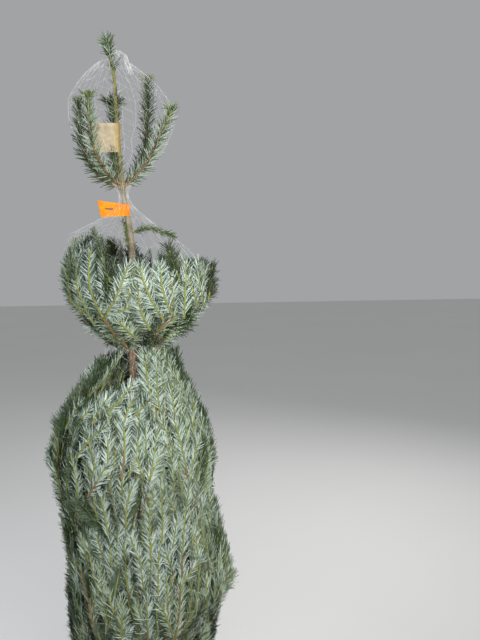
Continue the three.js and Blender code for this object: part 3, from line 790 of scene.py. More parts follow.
needleMaterials = []
for t in needleTints:
    # underside with two matt wax bands beside a green midrib, which makes it look silvery from a step away
    under = layered("firUnderside_" + t["name"], 0.6, (waxBands(t), t["under"], t["under"]), (40, 0.3, 0.8),
                    (9, 0.4, 0.75, 3), ior=1.42)
    # fir cuticle: a smooth wax film over dark green, so a soft narrow shine
    upper = layered("firCuticle_" + t["name"], 0.42, (t["upper"], t["upperDark"], t["upper"]), (45, 0.35, 0.65),
                    (6, 0.3, 0.7), ior=1.46)
    needleMaterials.append((under, upper))


def buildNeedle():
    # one flat needle with a slight twist, and its pale side down
    length, half, tip, twist = needle["length"], needle["width"] / 2, needle["tipWidth"] / 2, needle["twist"]
    points = [(0, -half, 0), (0, half, 0), (length, tip, -twist), (length, -tip, twist)]
    piece = meshPiece("needleShape", points, [(0, 1, 2), (0, 2, 3), (0, 3, 1), (3, 2, 1)], smooth=False)
    side = piece.data.attributes.new("upperSide", "BOOLEAN", "FACE")
    side.data.foreach_set("value", [False, False, True, True])
    layer = piece.data.uv_layers.new(name="acrossNeedle")
    for loop in piece.data.loops:
        x, y, z = points[loop.vertex_index]
        layer.data[loop.index].uv = (0.5 + copysign(0.5, y), x / length)
    return piece


def buildNeedleTree():
    tree, given = startTree("needlesOnShoots", Needle="Object", Spacing="Float", Seed="Int")

    def node(kind, inputs=None, **settings):
        return outOf(tree, "GeometryNode" + kind, inputs, **settings)

    def maths(operation, a, b=0.0):
        return outOf(tree, "ShaderNodeMath", {0: a, 1: b}, operation=operation)

    def vector(operation, a, b):
        return outOf(tree, "ShaderNodeVectorMath", {0: a, "Scale" if operation == "SCALE" else 1: b},
                     operation=operation)

    def logic(operation, a, b=False):
        return outOf(tree, "FunctionNodeBooleanMath", {0: a, 1: b}, operation=operation)

    def blend(share, a, b):  # a where share is 1, b where it is 0
        return maths("ADD", maths("MULTIPLY", a, share), maths("MULTIPLY", b, maths("SUBTRACT", 1.0, share)))

    def named(label, kind="FLOAT"):
        return node("InputNamedAttribute", {"Name": label}, data_type=kind)

    def chance(low, high, offset):
        seed = outOf(tree, "FunctionNodeIntegerMath", {0: given["Seed"], 1: offset}, operation="ADD")
        inputs = {2: low, 3: high, "Seed": seed}
        return addNode(tree, "FunctionNodeRandomValue", inputs, data_type="FLOAT").outputs[1]

    def angleOf(key, offset):
        return chance(*(radians(a) for a in needle[key]), offset)

    curves = node("MeshToCurve", {0: given["Geometry"]})
    spacing = maths("DIVIDE", given["Spacing"], named("dense"))
    stored = node("ResampleCurve", {"Curve": curves, "Length": spacing}, mode="LENGTH")
    # painted shade: a random share of the needles take the shaded tint, darker as if in shade
    isShaded = maths("LESS_THAN", chance(0, 1, 10), needle["shadedShare"])
    ownTint = blend(isShaded, float(shaded), named("tint"))
    parts = addNode(tree, "GeometryNodeSplineParameter").outputs["Factor"]
    for label, kind, socket in (("growing", "FLOAT_VECTOR", node("InputTangent")), ("part", "FLOAT", parts),
                                ("ownTint", "FLOAT", ownTint)):
        stored = node("StoreNamedAttribute", {"Geometry": stored, "Name": label, "Value": socket}, data_type=kind,
                      domain="POINT")
    points = node("CurveToPoints", {"Curve": stored}, mode="EVALUATED")

    # each needle's direction, and the way that its dark side looks
    along, out, part = named("growing", "FLOAT_VECTOR"), named("faceOut", "FLOAT_VECTOR"), named("part")
    side, allRound = vector("CROSS_PRODUCT", along, out), named("around")
    isUpper = maths("GREATER_THAN", chance(0, 1, 1), 1 - needle["upperShare"])
    leftRight = maths("SIGN", chance(-1, 1, 2))
    angle = blend(allRound, angleOf("around", 5), blend(isUpper, angleOf("steep", 4), angleOf("flat", 3)))
    lean = blend(isUpper, angleOf("upperLean", 7), angleOf("lean", 6))
    closing = outOf(tree, "ShaderNodeMapRange", {"Value": part, "From Min": 0.8, "From Max": 1.0, "To Min": 1.0,
                                                 "To Max": 0.45})
    lean = maths("MULTIPLY", maths("MULTIPLY", lean, closing), named("spread"))
    sideways = vector("SCALE", side, maths("MULTIPLY", maths("COSINE", angle), leftRight))
    inwards = vector("SCALE", out, maths("MULTIPLY", maths("SINE", angle), -1.0))
    aside = vector("ADD", sideways, inwards)
    direction = vector("ADD", vector("SCALE", along, maths("COSINE", lean)),
                       vector("SCALE", aside, maths("SINE", lean)))
    combedDark = vector("ADD", vector("SCALE", out, -1.0),
                        vector("SCALE", along, maths("MULTIPLY", maths("SINE", angle), 0.7)))
    roundDark = vector("ADD", aside, vector("SCALE", along, 0.7))
    dark = addNode(tree, "ShaderNodeMix", {0: allRound, 4: combedDark, 5: roundDark}, data_type="VECTOR")
    dark = vector("ADD", dark.outputs[1], vector("SCALE", side, chance(-1.0, 1.0, 9)))
    turned = outOf(tree, "FunctionNodeAxesToRotation", {0: direction, 1: dark}, primary_axis="X",
                   secondary_axis="Z")
    shorter = addNode(tree, "ShaderNodeFloatCurve", {"Value": part})  # needles are shorter at a shoot's two ends
    curve = shorter.mapping.curves[0]
    curve.points[0].location, curve.points[1].location = (0.0, 0.72), (1.0, 0.62)
    for x, y in ((0.12, 0.98), (0.85, 1.0)):
        curve.points.new(x, y)
    shorter.mapping.update()
    size = maths("MULTIPLY", chance(*needle["size"], 8), shorter.outputs[0])
    size = maths("MULTIPLY", size, named("needleLength"))
    shape = addNode(tree, "GeometryNodeObjectInfo", {"Object": given["Needle"]}).outputs["Geometry"]
    made = node("RealizeInstances", {0: node("InstanceOnPoints", {"Points": points, "Instance": shape,
                                                                 "Rotation": turned, "Scale": size})})
    isDarkSide, tint = named("upperSide", "BOOLEAN"), named("ownTint")
    for k, (under, upper) in enumerate(needleMaterials):
        ofTint = outOf(tree, "FunctionNodeCompare", {0: tint, 1: float(k), "Epsilon": 0.4}, data_type="FLOAT",
                       operation="EQUAL")
        for facing, material in ((logic("NOT", isDarkSide), under), (isDarkSide, upper)):
            made = node("SetMaterial", {"Geometry": made, "Selection": logic("AND", ofTint, facing),
                                        "Material": material})
    for label in perPoint + ("growing", "part", "ownTint", "faceOut", "upperSide"):
        made = node("RemoveAttribute", {"Geometry": made, "Name": label})
    addNode(tree, "NodeGroupOutput", {0: made})
    return tree


needleShape, needleTree = buildNeedle(), buildNeedleTree()
zones = {"crown": ["leader_tip", "stem_twig_left", "stem_twig_right"]}  # the nodes that each piece replaces
zones["crown"] += [f"foliage_crown_{i}" for i in range(1, 6)]
for whorl in whorls:
    for half, members in (("Front", (1, 5, 6)), ("Back", (2, 3, 4))):
        zones[whorl["name"] + half] = [f"foliage_{whorl['name']}_{i}" for i in members]
for number, (zone, nodes) in enumerate(zones.items()):
    group = [s for s in shoots if s["zone"] == zone]
    values = {key: [float(s[key]) for s in group for _ in s["line"]] for key in perPoint}
    piece = linesPiece("needles_" + zone, [s["line"] for s in group],
                       {"faceOut": [f for s in group for f in s["faces"]], **values})
    spacing = needle["spacing"] * mm * 1
    runTree(piece, needleTree, {"Needle": needleShape, "Spacing": spacing, "Seed": 40 + number * 10})
    finishPiece(piece, "dark_needles" if zone == "crown" else "pale_needles", *nodes)
bpy.data.objects.remove(needleShape)


# Twigs, boughs and thread are tubes that a node tree sweeps along lines

def buildTubeTree():
    tree, given = startTree("tubesAlongLines", Sides="Int", Material="Material")

    def node(kind, inputs, **settings):
        return addNode(tree, "GeometryNode" + kind, inputs, **settings)
    curves = node("MeshToCurve", {0: given["Geometry"]}).outputs[0]
    radius = node("InputNamedAttribute", {"Name": "thick"}, data_type="FLOAT").outputs[0]
    sized = node("SetCurveRadius", {"Curve": curves, "Radius": radius}).outputs[0]
    ring = node("CurvePrimitiveCircle", {"Resolution": given["Sides"], "Radius": 1.0}).outputs[0]
    sweep = node("CurveToMesh", {"Curve": sized, "Profile Curve": ring, "Fill Caps": True})
    if "Scale" in sweep.inputs:
        tree.links.new(radius, sweep.inputs["Scale"])
    real = node("RealizeInstances", {0: node("SetShadeSmooth", {0: sweep.outputs[0]}).outputs[0]}).outputs[0]
    done = node("SetMaterial", {"Geometry": real, "Material": given["Material"]}).outputs[0]
    addNode(tree, "NodeGroupOutput", {0: done})
    return tree


tubeTree = buildTubeTree()


def tubesPiece(name, lines, radii, sides, material, slot, *nodes):
    # radii hold one list for each line, in millimetres
    piece = linesPiece(name, lines, {"thick": [r * mm for each in radii for r in each]})
    finishPiece(runTree(piece, tubeTree, {"Sides": sides, "Material": material}), slot, *nodes)


def twigsPiece(name, sides, material, isOld):
    # each shoot's twig, the part older than a year apart from the young one
    lines, radii = [], []
    for shoot in shoots:
        count = len(shoot["line"])
        cut = round(shoot["old"] * (count - 1))
        kept = slice(0, cut + 1) if isOld else slice(cut, count)
        if shoot["radii"][0] and len(shoot["line"][kept]) > 1:
            lines.append(shoot["line"][kept])
            radii.append([lerp(*shoot["radii"], i / (count - 1)) + (0 if i else 0.4) for i in range(count)][kept])
    tubesPiece(name, lines, radii, sides, material, "bough_bark")


# this year's shoots: thin olive bark with fine ridges, almost without shine
youngBark = layered("youngTwigBark", 0.7, ("#65723a", "#757939", "#86884c"), (60, 0.42, 0.58), (3, 0.4, 0.7),
                    (1.2, 0.3))
twigsPiece("youngTwigs", 5, youngBark, False)
# second-year twigs: olive-brown and smooth, with a slight waxy shine
olderBark = layered("secondYearBark", 0.6, ("#665632", "#6b5233", "#84734f"), (50, 0.4, 0.6), (3, 0.45, 0.7),
                    (1.5, 0.4))
twigsPiece("olderTwigs", 6, olderBark, True)
# older boughs: smooth olive-brown bark with pale lenticels and a few scales
boughBark = layered("boughBark", 0.72, ("#6f5939", "#876f42", "#b39a6d"), (24, 0.35, 0.65), (3, 0.55, 0.75),
                    (2.2, 0.6, 4))
lines = [smoothLine(points, 18) for points, _ in boughLines]
radii = [[lerp(*ends, min(1, i / 17 * 1.1)) + 1.6 * exp(-i * 0.8) + random(-0.25, 0.25) for i in range(18)]
         for _, ends in boughLines]
boughNodes = [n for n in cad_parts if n.startswith("bough_")]
tubesPiece("boughs", lines, radii, 9, boughBark, "bough_bark", *boughNodes)


bud = {"long": (3.2, 4.6), "wide": (1.1, 1.5), "apart": 1.3, "threeFrom": 1.8, "pairs": 0.6}


def buildBuds():
    # small pointed buds at each shoot's end: three on a thick one, else one or two
    points, faces = [], []
    pick = seededRandom(77)
    for tip, along, radius in budPlaces:
        side = along.orthogonal().normalized()
        other = along.cross(side)
        for k in range(3 if radius > bud["threeFrom"] else 2 if pick() < bud["pairs"] else 1):
            angle = pick(0, 2 * pi) + k * 2.1
            away = (side * cos(angle) + other * sin(angle)) * (bud["apart"] if k else 0.0)
            axis = (along + away * 0.35).normalized()
            long, wide = pick(*bud["long"]), pick(*bud["wide"])
            across = axis.orthogonal().normalized()
            cross = axis.cross(across)
            base, root = len(points), tip + away - axis * 0.6
            for z, r in ((0.0, 0.7), (0.42, 1.0)):
                for s in range(3):
                    a = 2 * pi * s / 3 + z
                    points.append(root + axis * long * z + (across * cos(a) + cross * sin(a)) * wide * r)
            points.append(root + axis * long)
            faces.append((base + 2, base + 1, base))
            for s in range(3):
                t = (s + 1) % 3
                faces.append((base + s, base + t, base + 3 + t, base + 3 + s))
                faces.append((base + 3 + s, base + 3 + t, base + 6))
    # buds in a film of dried resin: reddish brown with a hard small highlight
    resin = layered("resinBud", 0.34, ("#5a3826", "#7d5a3c"), (2.5, 0.3, 0.7), ior=1.53)
    piece = meshPiece("buds", points, faces, resin)
    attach(piece, "root")
    print("buds:", len(faces), "faces")


buildBuds()


# Trunk: bark relief on the solid's own form, from a flat pale cut to the slim olive top

def barkByHeight(tree, place, share, colour):
    height = axisOf(tree, place, 2)
    for low, high, first, second in ((1.24, 1.4, "#6d654e", "#938a78"), (1.6, 1.72, "#6d6838", "#878250")):
        colour = mixTwo(tree, rampOf(tree, height, low, high), colour, mixTwo(tree, share, first, second))
    return colour


def sawnEndGrain():
    # fresh sawn end grain: pale, matt, with faint rings
    material, tree, shader, place = startMaterial("sawnEndGrain", 0.85)
    rings = addNode(tree, "ShaderNodeTexWave", {"Vector": place, "Scale": 90.0, "Distortion": 1.2},
                    wave_type="RINGS", rings_direction="Z").outputs["Fac"]
    tree.links.new(mixTwo(tree, rings, "#d8c39a", "#bb9f70"), shader.inputs["Base Color"])
    return material


bark = {"sides": 40, "levels": 250, "grain": 9, "relief": 1.1, "worn": 0.35, "blister": 5, "smoothUnder": 14,
        "collar": 1.7, "collarLong": 9,
        "collars": (318, 332, 612, 866, 1236, 1250, 1632)}  # heights of the rings where boughs stood


def buildTrunk():
    sides, levels = bark["sides"], bark["levels"]
    points, faces = [], []
    for k in range(levels + 1):
        height = lerp(trunk["foot"], trunk["top"], k / levels)
        centre, radius = trunkCentre(height), trunkRadius(height)
        rough = min(1.0, radius / bark["smoothUnder"])
        collar = sum(bark["collar"] * bell(height - c, bark["collarLong"]) for c in bark["collars"])
        for s in range(sides):
            angle = 2 * pi * s / sides
            place = Vector((cos(angle) * radius, sin(angle) * radius, height * 0.35)) / bark["grain"]
            relief = noise.fractal(place, 1.0, 2.0, 4) * bark["relief"] * rough - bark["worn"] * rough
            blister = max(0.0, noise.noise(place * 1.7 + Vector((7, 3, 1))) - 0.45) * bark["blister"] * rough
            points.append(centre + outward(angle) * (radius + relief + blister + collar * (0.5 + 0.5 * rough)))
    for k in range(levels):
        for s in range(sides):
            a, b = k * sides + s, k * sides + (s + 1) % sides
            faces.append((a, b, b + sides, a + sides))
    faces += [tuple(levels * sides + s for s in range(sides)), tuple(reversed(range(sides)))]
    # young fir bark: smooth and grey-brown with resin blisters and fine cracks, turning olive on the top shoots
    youngFir = layered("firTrunkBark", 0.74, ("#a08469", "#c7a98a", "#6a5743"), (22, 0.35, 0.7, 3),
                       (3, 0.62, 0.75, 5, 0.5, (1, 1, 0.3)), (3, 0.9, 5, 0.5, (1, 1, 0.3)), barkByHeight)
    piece = meshPiece("trunkStem", points, faces, youngFir)
    piece.data.materials.append(sawnEndGrain())
    piece.data.polygons[-1].material_index = 1
    piece.data.polygons[-1].use_smooth = False
    finishPiece(piece, "trunk_bark", "trunk")


buildTrunk()

# Bucket stand: a spun steel bucket with a rolled rim, two swaged rings and welded bosses for the clamp screws
bucket = {"height": 250, "footRadius": 118, "rimRadius": 148, "wall": 3, "floor": 6, "rimBead": 5, "band": 46,
          "swages": (62, 128)}
screw = {"count": 3, "height": 206, "radius": 4, "pad": 9, "padLength": 4, "outside": 38, "bar": 3.5,
         "barLength": 52, "barTurn": 35, "pitch": 2.0, "bossRadius": 11, "bossLength": 9}
screwTurns = [radians(90 + 360 * k / screw["count"]) for k in range(screw["count"])]
waterDepth = 150


def bucketRadius(height):
    return lerp(bucket["footRadius"], bucket["rimRadius"], height / bucket["height"])


def latheOf(profile, sides, turnTo=None):
    # closed profile of (radius, height) pairs turned round +Z, or round the axis that turnTo gives
    points, faces, n = [], [], len(profile)
    for s in range(sides):
        out = outward(2 * pi * s / sides)
        points += [out * r + up * z for r, z in profile]
        t = (s + 1) % sides
        for i in range(n):
            j = (i + 1) % n
            if profile[i][0] == 0 and profile[j][0] == 0:
                continue
            if profile[i][0] == 0:
                faces.append((i, t * n + j, s * n + j))
            elif profile[j][0] == 0:
                faces.append((s * n + i, t * n + i, j))
            else:
                faces.append((s * n + i, t * n + i, t * n + j, s * n + j))
    if turnTo:
        points = [turnTo @ p for p in points]
    used = sorted({v for f in faces for v in f})
    new = {old: k for k, old in enumerate(used)}
    return [points[v] for v in used], [tuple(new[v] for v in f) for f in faces]


def sideways(turn, tilt=90, axis="Y"):
    # what tips +Z over and turns it outwards
    return Matrix.Rotation(turn, 3, "Z") @ Matrix.Rotation(radians(tilt), 3, axis)


def moved(shape, by):
    points, faces = shape
    return [p + by for p in points], faces


def joined(*shapes):
    points, faces = [], []
    for morePoints, moreFaces in shapes:
        faces += [tuple(v + len(points) for v in f) for f in moreFaces]
        points += morePoints
    return points, faces


def buildBucket():
    high, wall, inside = bucket["height"], bucket["wall"], bucket["floor"]
    foot, rim, floorRadius = bucketRadius(0), bucketRadius(high), bucketRadius(inside) - wall
    bandFoot = high - bucket["band"]
    outer = [(0, 1.2), (foot - 8, 1.2), (foot - 4, 0), (foot, 0), (bucketRadius(2) + 0.6, 3)]
    for k in range(1, 40):
        z = k * bandFoot / 40
        outer.append((bucketRadius(z) + sum(1.6 * bell(z - ring, 3.2) for ring in bucket["swages"]), z))
    outer += [(bucketRadius(bandFoot), bandFoot), (bucketRadius(bandFoot) + wall, bandFoot + 3),
              (rim + wall, high - 2 * bucket["rimBead"])]
    bead = [(rim + 1 + 6.6 * cos(a), high - bucket["rimBead"] + 4.9 * sin(a))
            for a in [radians(-50 + 23 * k) for k in range(10)]]
    inner = [(rim - wall, high - 8), (floorRadius, inside + 3), (floorRadius - 3, inside), (0, inside)]
    r, bore = screw["bossRadius"], screw["radius"] + 0.3
    wallAt = bucketRadius(screw["height"]) + wall
    start, end = wallAt - wall - 1, wallAt + screw["bossLength"]
    boss = [(bore, start), (r + 1.5, start), (r + 1.5, wallAt + 0.5), (r, wallAt + 2), (r, end - 1), (r - 1, end),
            (bore + 0.8, end), (bore, end - 0.8)]
    bosses = [moved(latheOf(boss, 28, sideways(turn)), up * screw["height"]) for turn in screwTurns]
    # powder-coated steel: a thick even coat with slight orange peel and small scuffs down to the primer
    coat = layered("powderCoatedSteel", 0.4, ("#24483a", "#35594a", "#6f7d75"), (60, 0.45, 0.8, 3),
                   (14, 0.68, 0.72, 6, 0.7), (3.5, 0.12), shine=(0.34, 0.55))
    shape = joined(latheOf(outer + bead + inner, 96), *bosses)
    finishPiece(meshPiece("bucketStand", *shape, coat), "bucket_paint", "stand_bucket")


def buildWater():
    r = bucketRadius(waterDepth) - bucket["wall"] - 0.8
    stem, foot = trunkRadius(waterDepth) + 1.4, bucket["floor"] + 1
    profile = [(stem, foot), (bucketRadius(bucket["floor"]) - bucket["wall"] - 4, foot), (r - 0.4, waterDepth),
               (r - 2.5, waterDepth - 1.2), (r - 8, waterDepth - 2), (stem + 7, waterDepth - 2),
               (stem + 2, waterDepth - 1.2), (stem, waterDepth)]
    # clear tap water: the eye sees the dark green bucket through it and a sharp reflection on top
    clear = layered("stillWater", 0.04, ("#5f7068", "#79857a"), (25, 0.5, 0.8, 3), ior=1.333)
    clear.node_tree.nodes["Principled BSDF"].inputs["Transmission Weight"].default_value = 0.55
    finishPiece(meshPiece("water", *latheOf(profile, 72), clear), "water", "stand_water")


def buildScrews():
    # bright zinc plating on turned steel, a little cloudy
    zinc = layered("zincPlatedSteel", 0.32, ("#c3c6c8", "#a5a9ad"), (9, 0.35, 0.7, 3), shine=(0.24, 0.42),
                   metallic=1.0)
    pad, rod, pitch = screw["pad"], screw["radius"] - 0.1, screw["pitch"]
    start = trunkRadius(screw["height"]) + 0.45
    padEnd = start + screw["padLength"]
    end = bucketRadius(screw["height"]) + bucket["wall"] + screw["bossLength"] + screw["outside"]
    profile = [(0, start), (pad - 1, start), (pad, start + 1), (pad, padEnd - 1), (pad - 1.5, padEnd),
               (rod - 0.7, padEnd + 0.4)]
    x = padEnd + 1
    while x < end - 8:  # turned thread, drawn as ridges at the real pitch
        profile += [(rod - 0.75, x), (rod, x + pitch / 2)]
        x += pitch
    profile += [(rod - 0.2, x), (rod - 0.2, end - 5), (rod + 1.6, end - 4), (rod + 1.6, end + 4), (rod, end + 5.5),
                (0, end + 5.5)]
    half, r = screw["barLength"] / 2, screw["bar"]
    bar = [(0, -half), (r - 0.8, -half), (r, -half + 0.8), (r, half - 0.8), (r - 0.8, half), (0, half)]
    for k, turn in enumerate(screwTurns):
        cross = moved(latheOf(bar, 14, sideways(turn, 90 + screw["barTurn"], "X")), outward(turn) * end)
        shape = moved(joined(latheOf(profile, 14, sideways(turn)), cross), up * screw["height"])
        finishPiece(meshPiece(f"clampScrew{k + 1}", *shape, zinc), "screw_steel", f"clamp_screw_{k + 1}")


buildBucket()
buildWater()
buildScrews()


# Transport net: thin knitted thread over the bundle, drawn in to the stem and tied off above the tip. Between
# bundle and cup it is drawn in by neckDepth, above the cup it comes level again over levelling, round the crown it
# stands aside by up to crownAside, and its thread is finest above fineAbove
net = {"pillars": 28, "cell": 25, "thread": 0.2, "sunk": 10, "rung": 0.42, "from": 352, "to": 1926,
       "bundleTop": 1168, "cupFoot": 1335, "cupTop": 1448, "neckDepth": 60, "levelling": 130, "crownFrom": 1628,
       "crownAside": 12, "fineAbove": 1440, "tiedAbove": 1885, "steepest": 60}
netReach = [(1496, 150), (1536, 86), (1574, 30), (1600, 10), (1628, 12), (1662, 44), (1712, 92), (1772, 122),
            (1826, 118), (1872, 84), (1906, 44), (1926, 13)]  # height and reach above the foliage
netRungs = [  # pixels of the photo where a cross thread lies bare on the needles: left, right, height
    (152, 158, 553), (152, 168, 563), (156, 161, 574), (154, 160, 584), (150, 160, 595), (147, 160, 609),
    (135, 150, 619), (135, 145, 633), (134, 141, 470), (150, 157, 537),
]


def netPoint(height, turn):
    foot, rim = net["cupFoot"], net["cupTop"]
    onBundle = surfaceAt(whorls[0], turn, min(height, net["bundleTop"])) - net["sunk"]
    onCup = surfaceAt(whorls[3], turn, lifted(whorls[3], turn, held(height, foot, rim))) - net["sunk"]
    if height <= net["bundleTop"]:
        return trunkCentre(height) + outward(turn) * onBundle
    if height <= foot:
        u = (height - net["bundleTop"]) / (foot - net["bundleTop"])
        return trunkCentre(height) + outward(turn) * (lerp(onBundle, onCup, u) - net["neckDepth"] * sin(pi * u))
    level = lifted(whorls[3], turn, min(height, rim)) + max(height - rim, 0)
    level = lerp(height, level, held(1 - (height - rim) / net["levelling"]))
    if height <= rim:
        return trunkCentre(level) + outward(turn) * onCup
    reach = [(rim, onCup)] + netReach
    k = min(sum(z <= height for z, _ in reach), len(reach) - 1)
    (low, first), (high, last) = reach[k - 1:k + 1]
    middle = trunkCentre(level)
    middle.x += net["crownAside"] * sin(pi * held((height - net["crownFrom"]) / (net["to"] - net["crownFrom"])))
    return middle + outward(turn) * lerp(first, last, (height - low) / (high - low))


def buildNet():
    pick = seededRandom(505)
    pillars, cell, end = net["pillars"], net["cell"], net["to"]
    rows = (end - net["from"]) // cell + 1
    wobble = [[pick(-1, 1) for _ in range(pillars + 1)] for _ in range(rows)]

    def knot(row, k):
        k = k % pillars
        height = net["from"] + row * cell + (k % 2) * cell * 0.5
        return netPoint(min(height, end), 2 * pi * (k + 0.22 * wobble[row][k]) / pillars)
    lines = [[knot(row, k) for row in range(rows)] for k in range(pillars)]
    for row in range(rows):
        for k in range(pillars):
            a, b = knot(row, k), knot(row, k + 1)
            if abs(a.z - b.z) < net["steepest"]:
                lines.append([a, b])
    rungs = range(len(lines), len(lines) + len(netRungs))
    for x0, x1, y in netRungs:
        sag = ((0, 0), (0.5, 1), (1, 0))
        lines.append([surfaceSeenAt(whorls[0], lerp(x0, x1, u), y + down, -1) for u, down in sag])
    # the gathered end above the tip, bent over to the right
    centre = trunkCentre(end)
    for k in range(pillars):
        turn = 2 * pi * k / pillars
        spread = outward(turn) * pick(1.5, 5)
        lines.append([netPoint(end, turn), centre + Vector((10, 0, 14)) + spread,
                      centre + Vector((26, -2, 2)) + spread * 1.4,
                      centre + Vector((36 + pick(-5, 6), -3, -26 - pick(0, 16))) + spread * 2.2])

    def thickAt(z):
        return net["thread"] * (1.1 if z > net["tiedAbove"] else 0.6 if z > net["fineAbove"] else 1)
    radii = [[net["rung"] if i in rungs else thickAt(p.z) for p in line] for i, line in enumerate(lines)]
    # knitted polyethylene tape, white and slightly glossy
    thread = layered("nettingPolyethylene", 0.38, ("#eef0ee", "#dfe3e2"), (12, 0.3, 0.7), ior=1.51)
    tubesPiece("transportNet", lines, radii, 3, thread, "pale_needles")


buildNet()


# Labels: a gold paper folded round the leader and an orange plastic tag round the bare stem, both without print

def stripPiece(name, plan, heights, slopes, thickness, material, rows=8, slant=None):
    # an upright strip that follows a plan line; heights and slopes give its half height and its rise at each
    # point, slant how far its lower edge is cut back towards +X
    count = len(plan)
    slant = slant or [0] * count
    points, faces = [], []
    for i, at in enumerate(plan):
        along = plan[min(i + 1, count - 1)] - plan[max(i - 1, 0)]
        across = Vector((-along.y, along.x, 0)).normalized()
        for side in (-0.5, 0.5):
            for k in range(rows + 1):
                z = lerp(-heights[i], heights[i], k / rows) + slopes[i]
                points.append(at + across * thickness * side + up * z + Vector((slant[i] * (1 - k / rows), 0, 0)))
    ring = 2 * (rows + 1)
    for i in range(count - 1):
        for k in range(rows):
            a = i * ring + k
            b = a + rows + 1
            faces += [(a, a + 1, a + 1 + ring, a + ring), (b + 1, b, b + ring, b + 1 + ring)]
        for k in (0, rows):
            a, b = i * ring + k, i * ring + k + rows + 1
            faces.append((a, a + ring, b + ring, b)[::-1 if k else 1])
    for i in (0, count - 1):
        for k in range(rows):
            a, b = i * ring + k, i * ring + k + rows + 1
            faces.append((a, b, b + 1, a + 1)[::-1 if i else 1])
    piece = meshPiece(name, points, faces, material)
    piece.modifiers.new("edges", "EDGE_SPLIT").split_angle = radians(40)
    finishPiece(piece, "pale_needles")


def wrapPlan(height, reach, back, gap, count=24):
    # plan line from the flag's far end along its front, round the stem and back along its rear
    centre, radius = trunkCentre(height), trunkRadius(height) + 1.2
    far = centre + Vector((-reach, -back, 0))
    along = (far - centre).normalized()
    across = Vector((-along.y, along.x, 0))

    def offset(u):  # the two halves part only close to the stem
        return lerp(gap, radius, max(0, (u - 0.62) / 0.38) ** 1.6)
    front = [far.lerp(centre, i / count) + across * offset(i / count) for i in range(count)]
    turns = [radians(90 - 180 * k / 9) for k in range(10)]
    loop = [centre - along * cos(a) * radius + across * sin(a) * radius for a in turns]
    rear = [centre.lerp(far, (i + 1) / count) - across * offset(1 - (i + 1) / count) for i in range(count)]
    return centre, front + loop + rear


def buildGoldLabel():
    height, half = 1744, 33
    centre, plan = wrapPlan(height, 57, 20, 0.8)
    for p in plan:
        p.y += 2.2 * sin((p.x - centre.x) * 0.12)
    fold = centre.x / 1000

    def paintedFoldHighlight(tree, place, share, colour):  # painted highlight: yellower towards the fold round the stem, where the gold film catches the light
        return mixTwo(tree, rampOf(tree, axisOf(tree, place, 0), fold - 0.016, fold + 0.002), colour, "#97824a")
    # paper with a brushed gold film: warm, with a broad sheen and fine creases
    gold = layered("goldFilmPaper", 0.48, ("#91866e", "#b0a48b"), (16, 0.35, 0.65, 4), bump=(16, 1.2, 4),
                   over=paintedFoldHighlight, metallic=0.2)
    stripPiece("goldLabel", plan, [half] * len(plan), [0.05 * (p.x - centre.x) for p in plan], 0.35, gold)


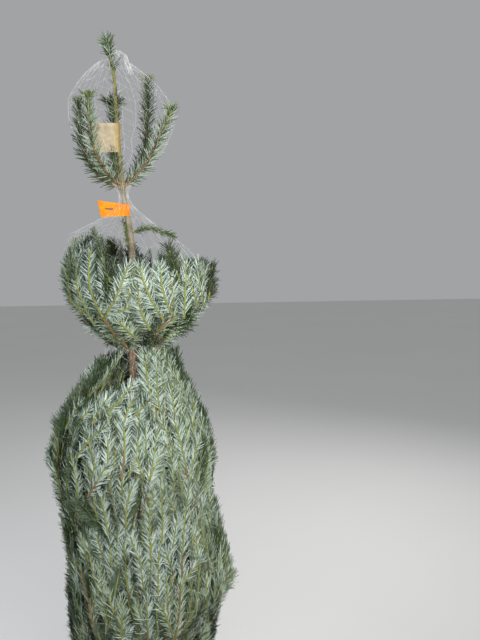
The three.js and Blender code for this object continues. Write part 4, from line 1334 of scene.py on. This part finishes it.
def buildOrangeTag():
    tag = {"height": 1577.5, "reach": 66, "halfFar": 19, "halfNear": 13.5, "back": 17, "slant": 8}
    centre, plan = wrapPlan(tag["height"], tag["reach"], tag["back"], 0.9)
    near = [max(0.0, 1 - abs(p.x - centre.x) / 26) for p in plan]
    for p, close in zip(plan, near):
        p.y += 3.0 * sin((p.x - 10) * 0.07) + 1.3 * close * sin(p.x * 0.95)
    half = [lerp(tag["halfNear"], tag["halfFar"], min(1, abs(p.x - centre.x) / 62)) for p in plan]
    slant = [tag["slant"] * max(0, abs(p.x - centre.x) / tag["reach"] - 0.6) / 0.4 for p in plan]
    # dyed polyethylene film tag: even orange, a little translucent, with a soft shine
    film = layered("orangeTagFilm", 0.55, ("#f39204", "#de7c00"), (12, 0.35, 0.7, 3), bump=(10, 0.8, 3), ior=1.3)
    stripPiece("orangeTag", plan, half, [-0.03 * (p.x - centre.x) for p in plan], 0.4, film, slant=slant)
    # a plain bar where such tags are printed, laid on the tag's front
    front = plan[3:14]
    towards = Vector((front[-1] - front[0]).yx.to_3d()).normalized()
    towards.y = -abs(towards.y)
    bar = [p + towards * 0.6 + up * 1.5 for p in front]
    # printing ink: near black, half matt and a little uneven
    ink = layered("blackPrint", 0.5, ("#2a2420", "#3b332c"), (1.5, 0, 1))
    stripPiece("tagBar", bar, [1.6] * len(bar), [-0.02 * (p.x - centre.x) for p in bar], 0.12, ink, rows=2)


buildGoldLabel()
buildOrangeTag()


# Floor, light and camera
half = 14000
corners = [(-half, -half, 0), (half, -half, 0), (half, half, 0), (-half, half, 0)]
# painted floor: even, pale and matt, so the tree stands clear of it
paint = layered("paleFloor", 0.7, ("#e6e5e2", "#e0dfdc"), (900, 0, 1))
ground = meshPiece("floor", corners, [(0, 1, 2, 3)], paint)

world = bpy.data.worlds.new("paleRoom")
bpy.context.scene.world = world
world.use_nodes = True
sky = world.node_tree.nodes["Background"].inputs
sky[0].default_value, sky[1].default_value = toLinear("#e9ebee"), 0.44


def addLamp(name, place, target, width, watts, colour):
    lamp = bpy.data.lights.new(name, "AREA")
    lamp.size, lamp.energy, lamp.color = width, watts, toLinear(colour)[:3]
    holder = newObject(name, lamp)
    holder.location = place
    holder.rotation_euler = (Vector(target) - Vector(place)).to_track_quat("-Z", "Y").to_euler()


addLamp("frontLamp", (0.3, -1.15, 1.45), (0, 0, 1.4), 0.7, 18, "#fffaf2")
addLamp("skyLamp", (0.0, -1.0, 3.4), (0, 0, 1.4), 1.8, 16, "#f4f7ff")
addLamp("windowLamp", (-2.6, -0.6, 2.2), (0, 0, 1.3), 1.6, 40, "#eef3ff")
addLamp("rearLamp", (1.8, 2.2, 2.6), (0, 0, 1.1), 1.4, 38, "#ffffff")

bpy.context.scene.view_settings.view_transform = "Standard"  # shows the base colours as they are
camera = bpy.data.cameras.new("camera")
camera.lens = view["lens"]
camera.sensor_fit = "VERTICAL"
camera.sensor_height = view["sensor"]
holder = newObject("camera", camera)
holder.location = (0, -view["away"], view["height"])
holder.rotation_euler = (radians(90 - view["pitch"]), 0, radians(-view["yaw"]))
bpy.context.scene.camera = holder

print("done")
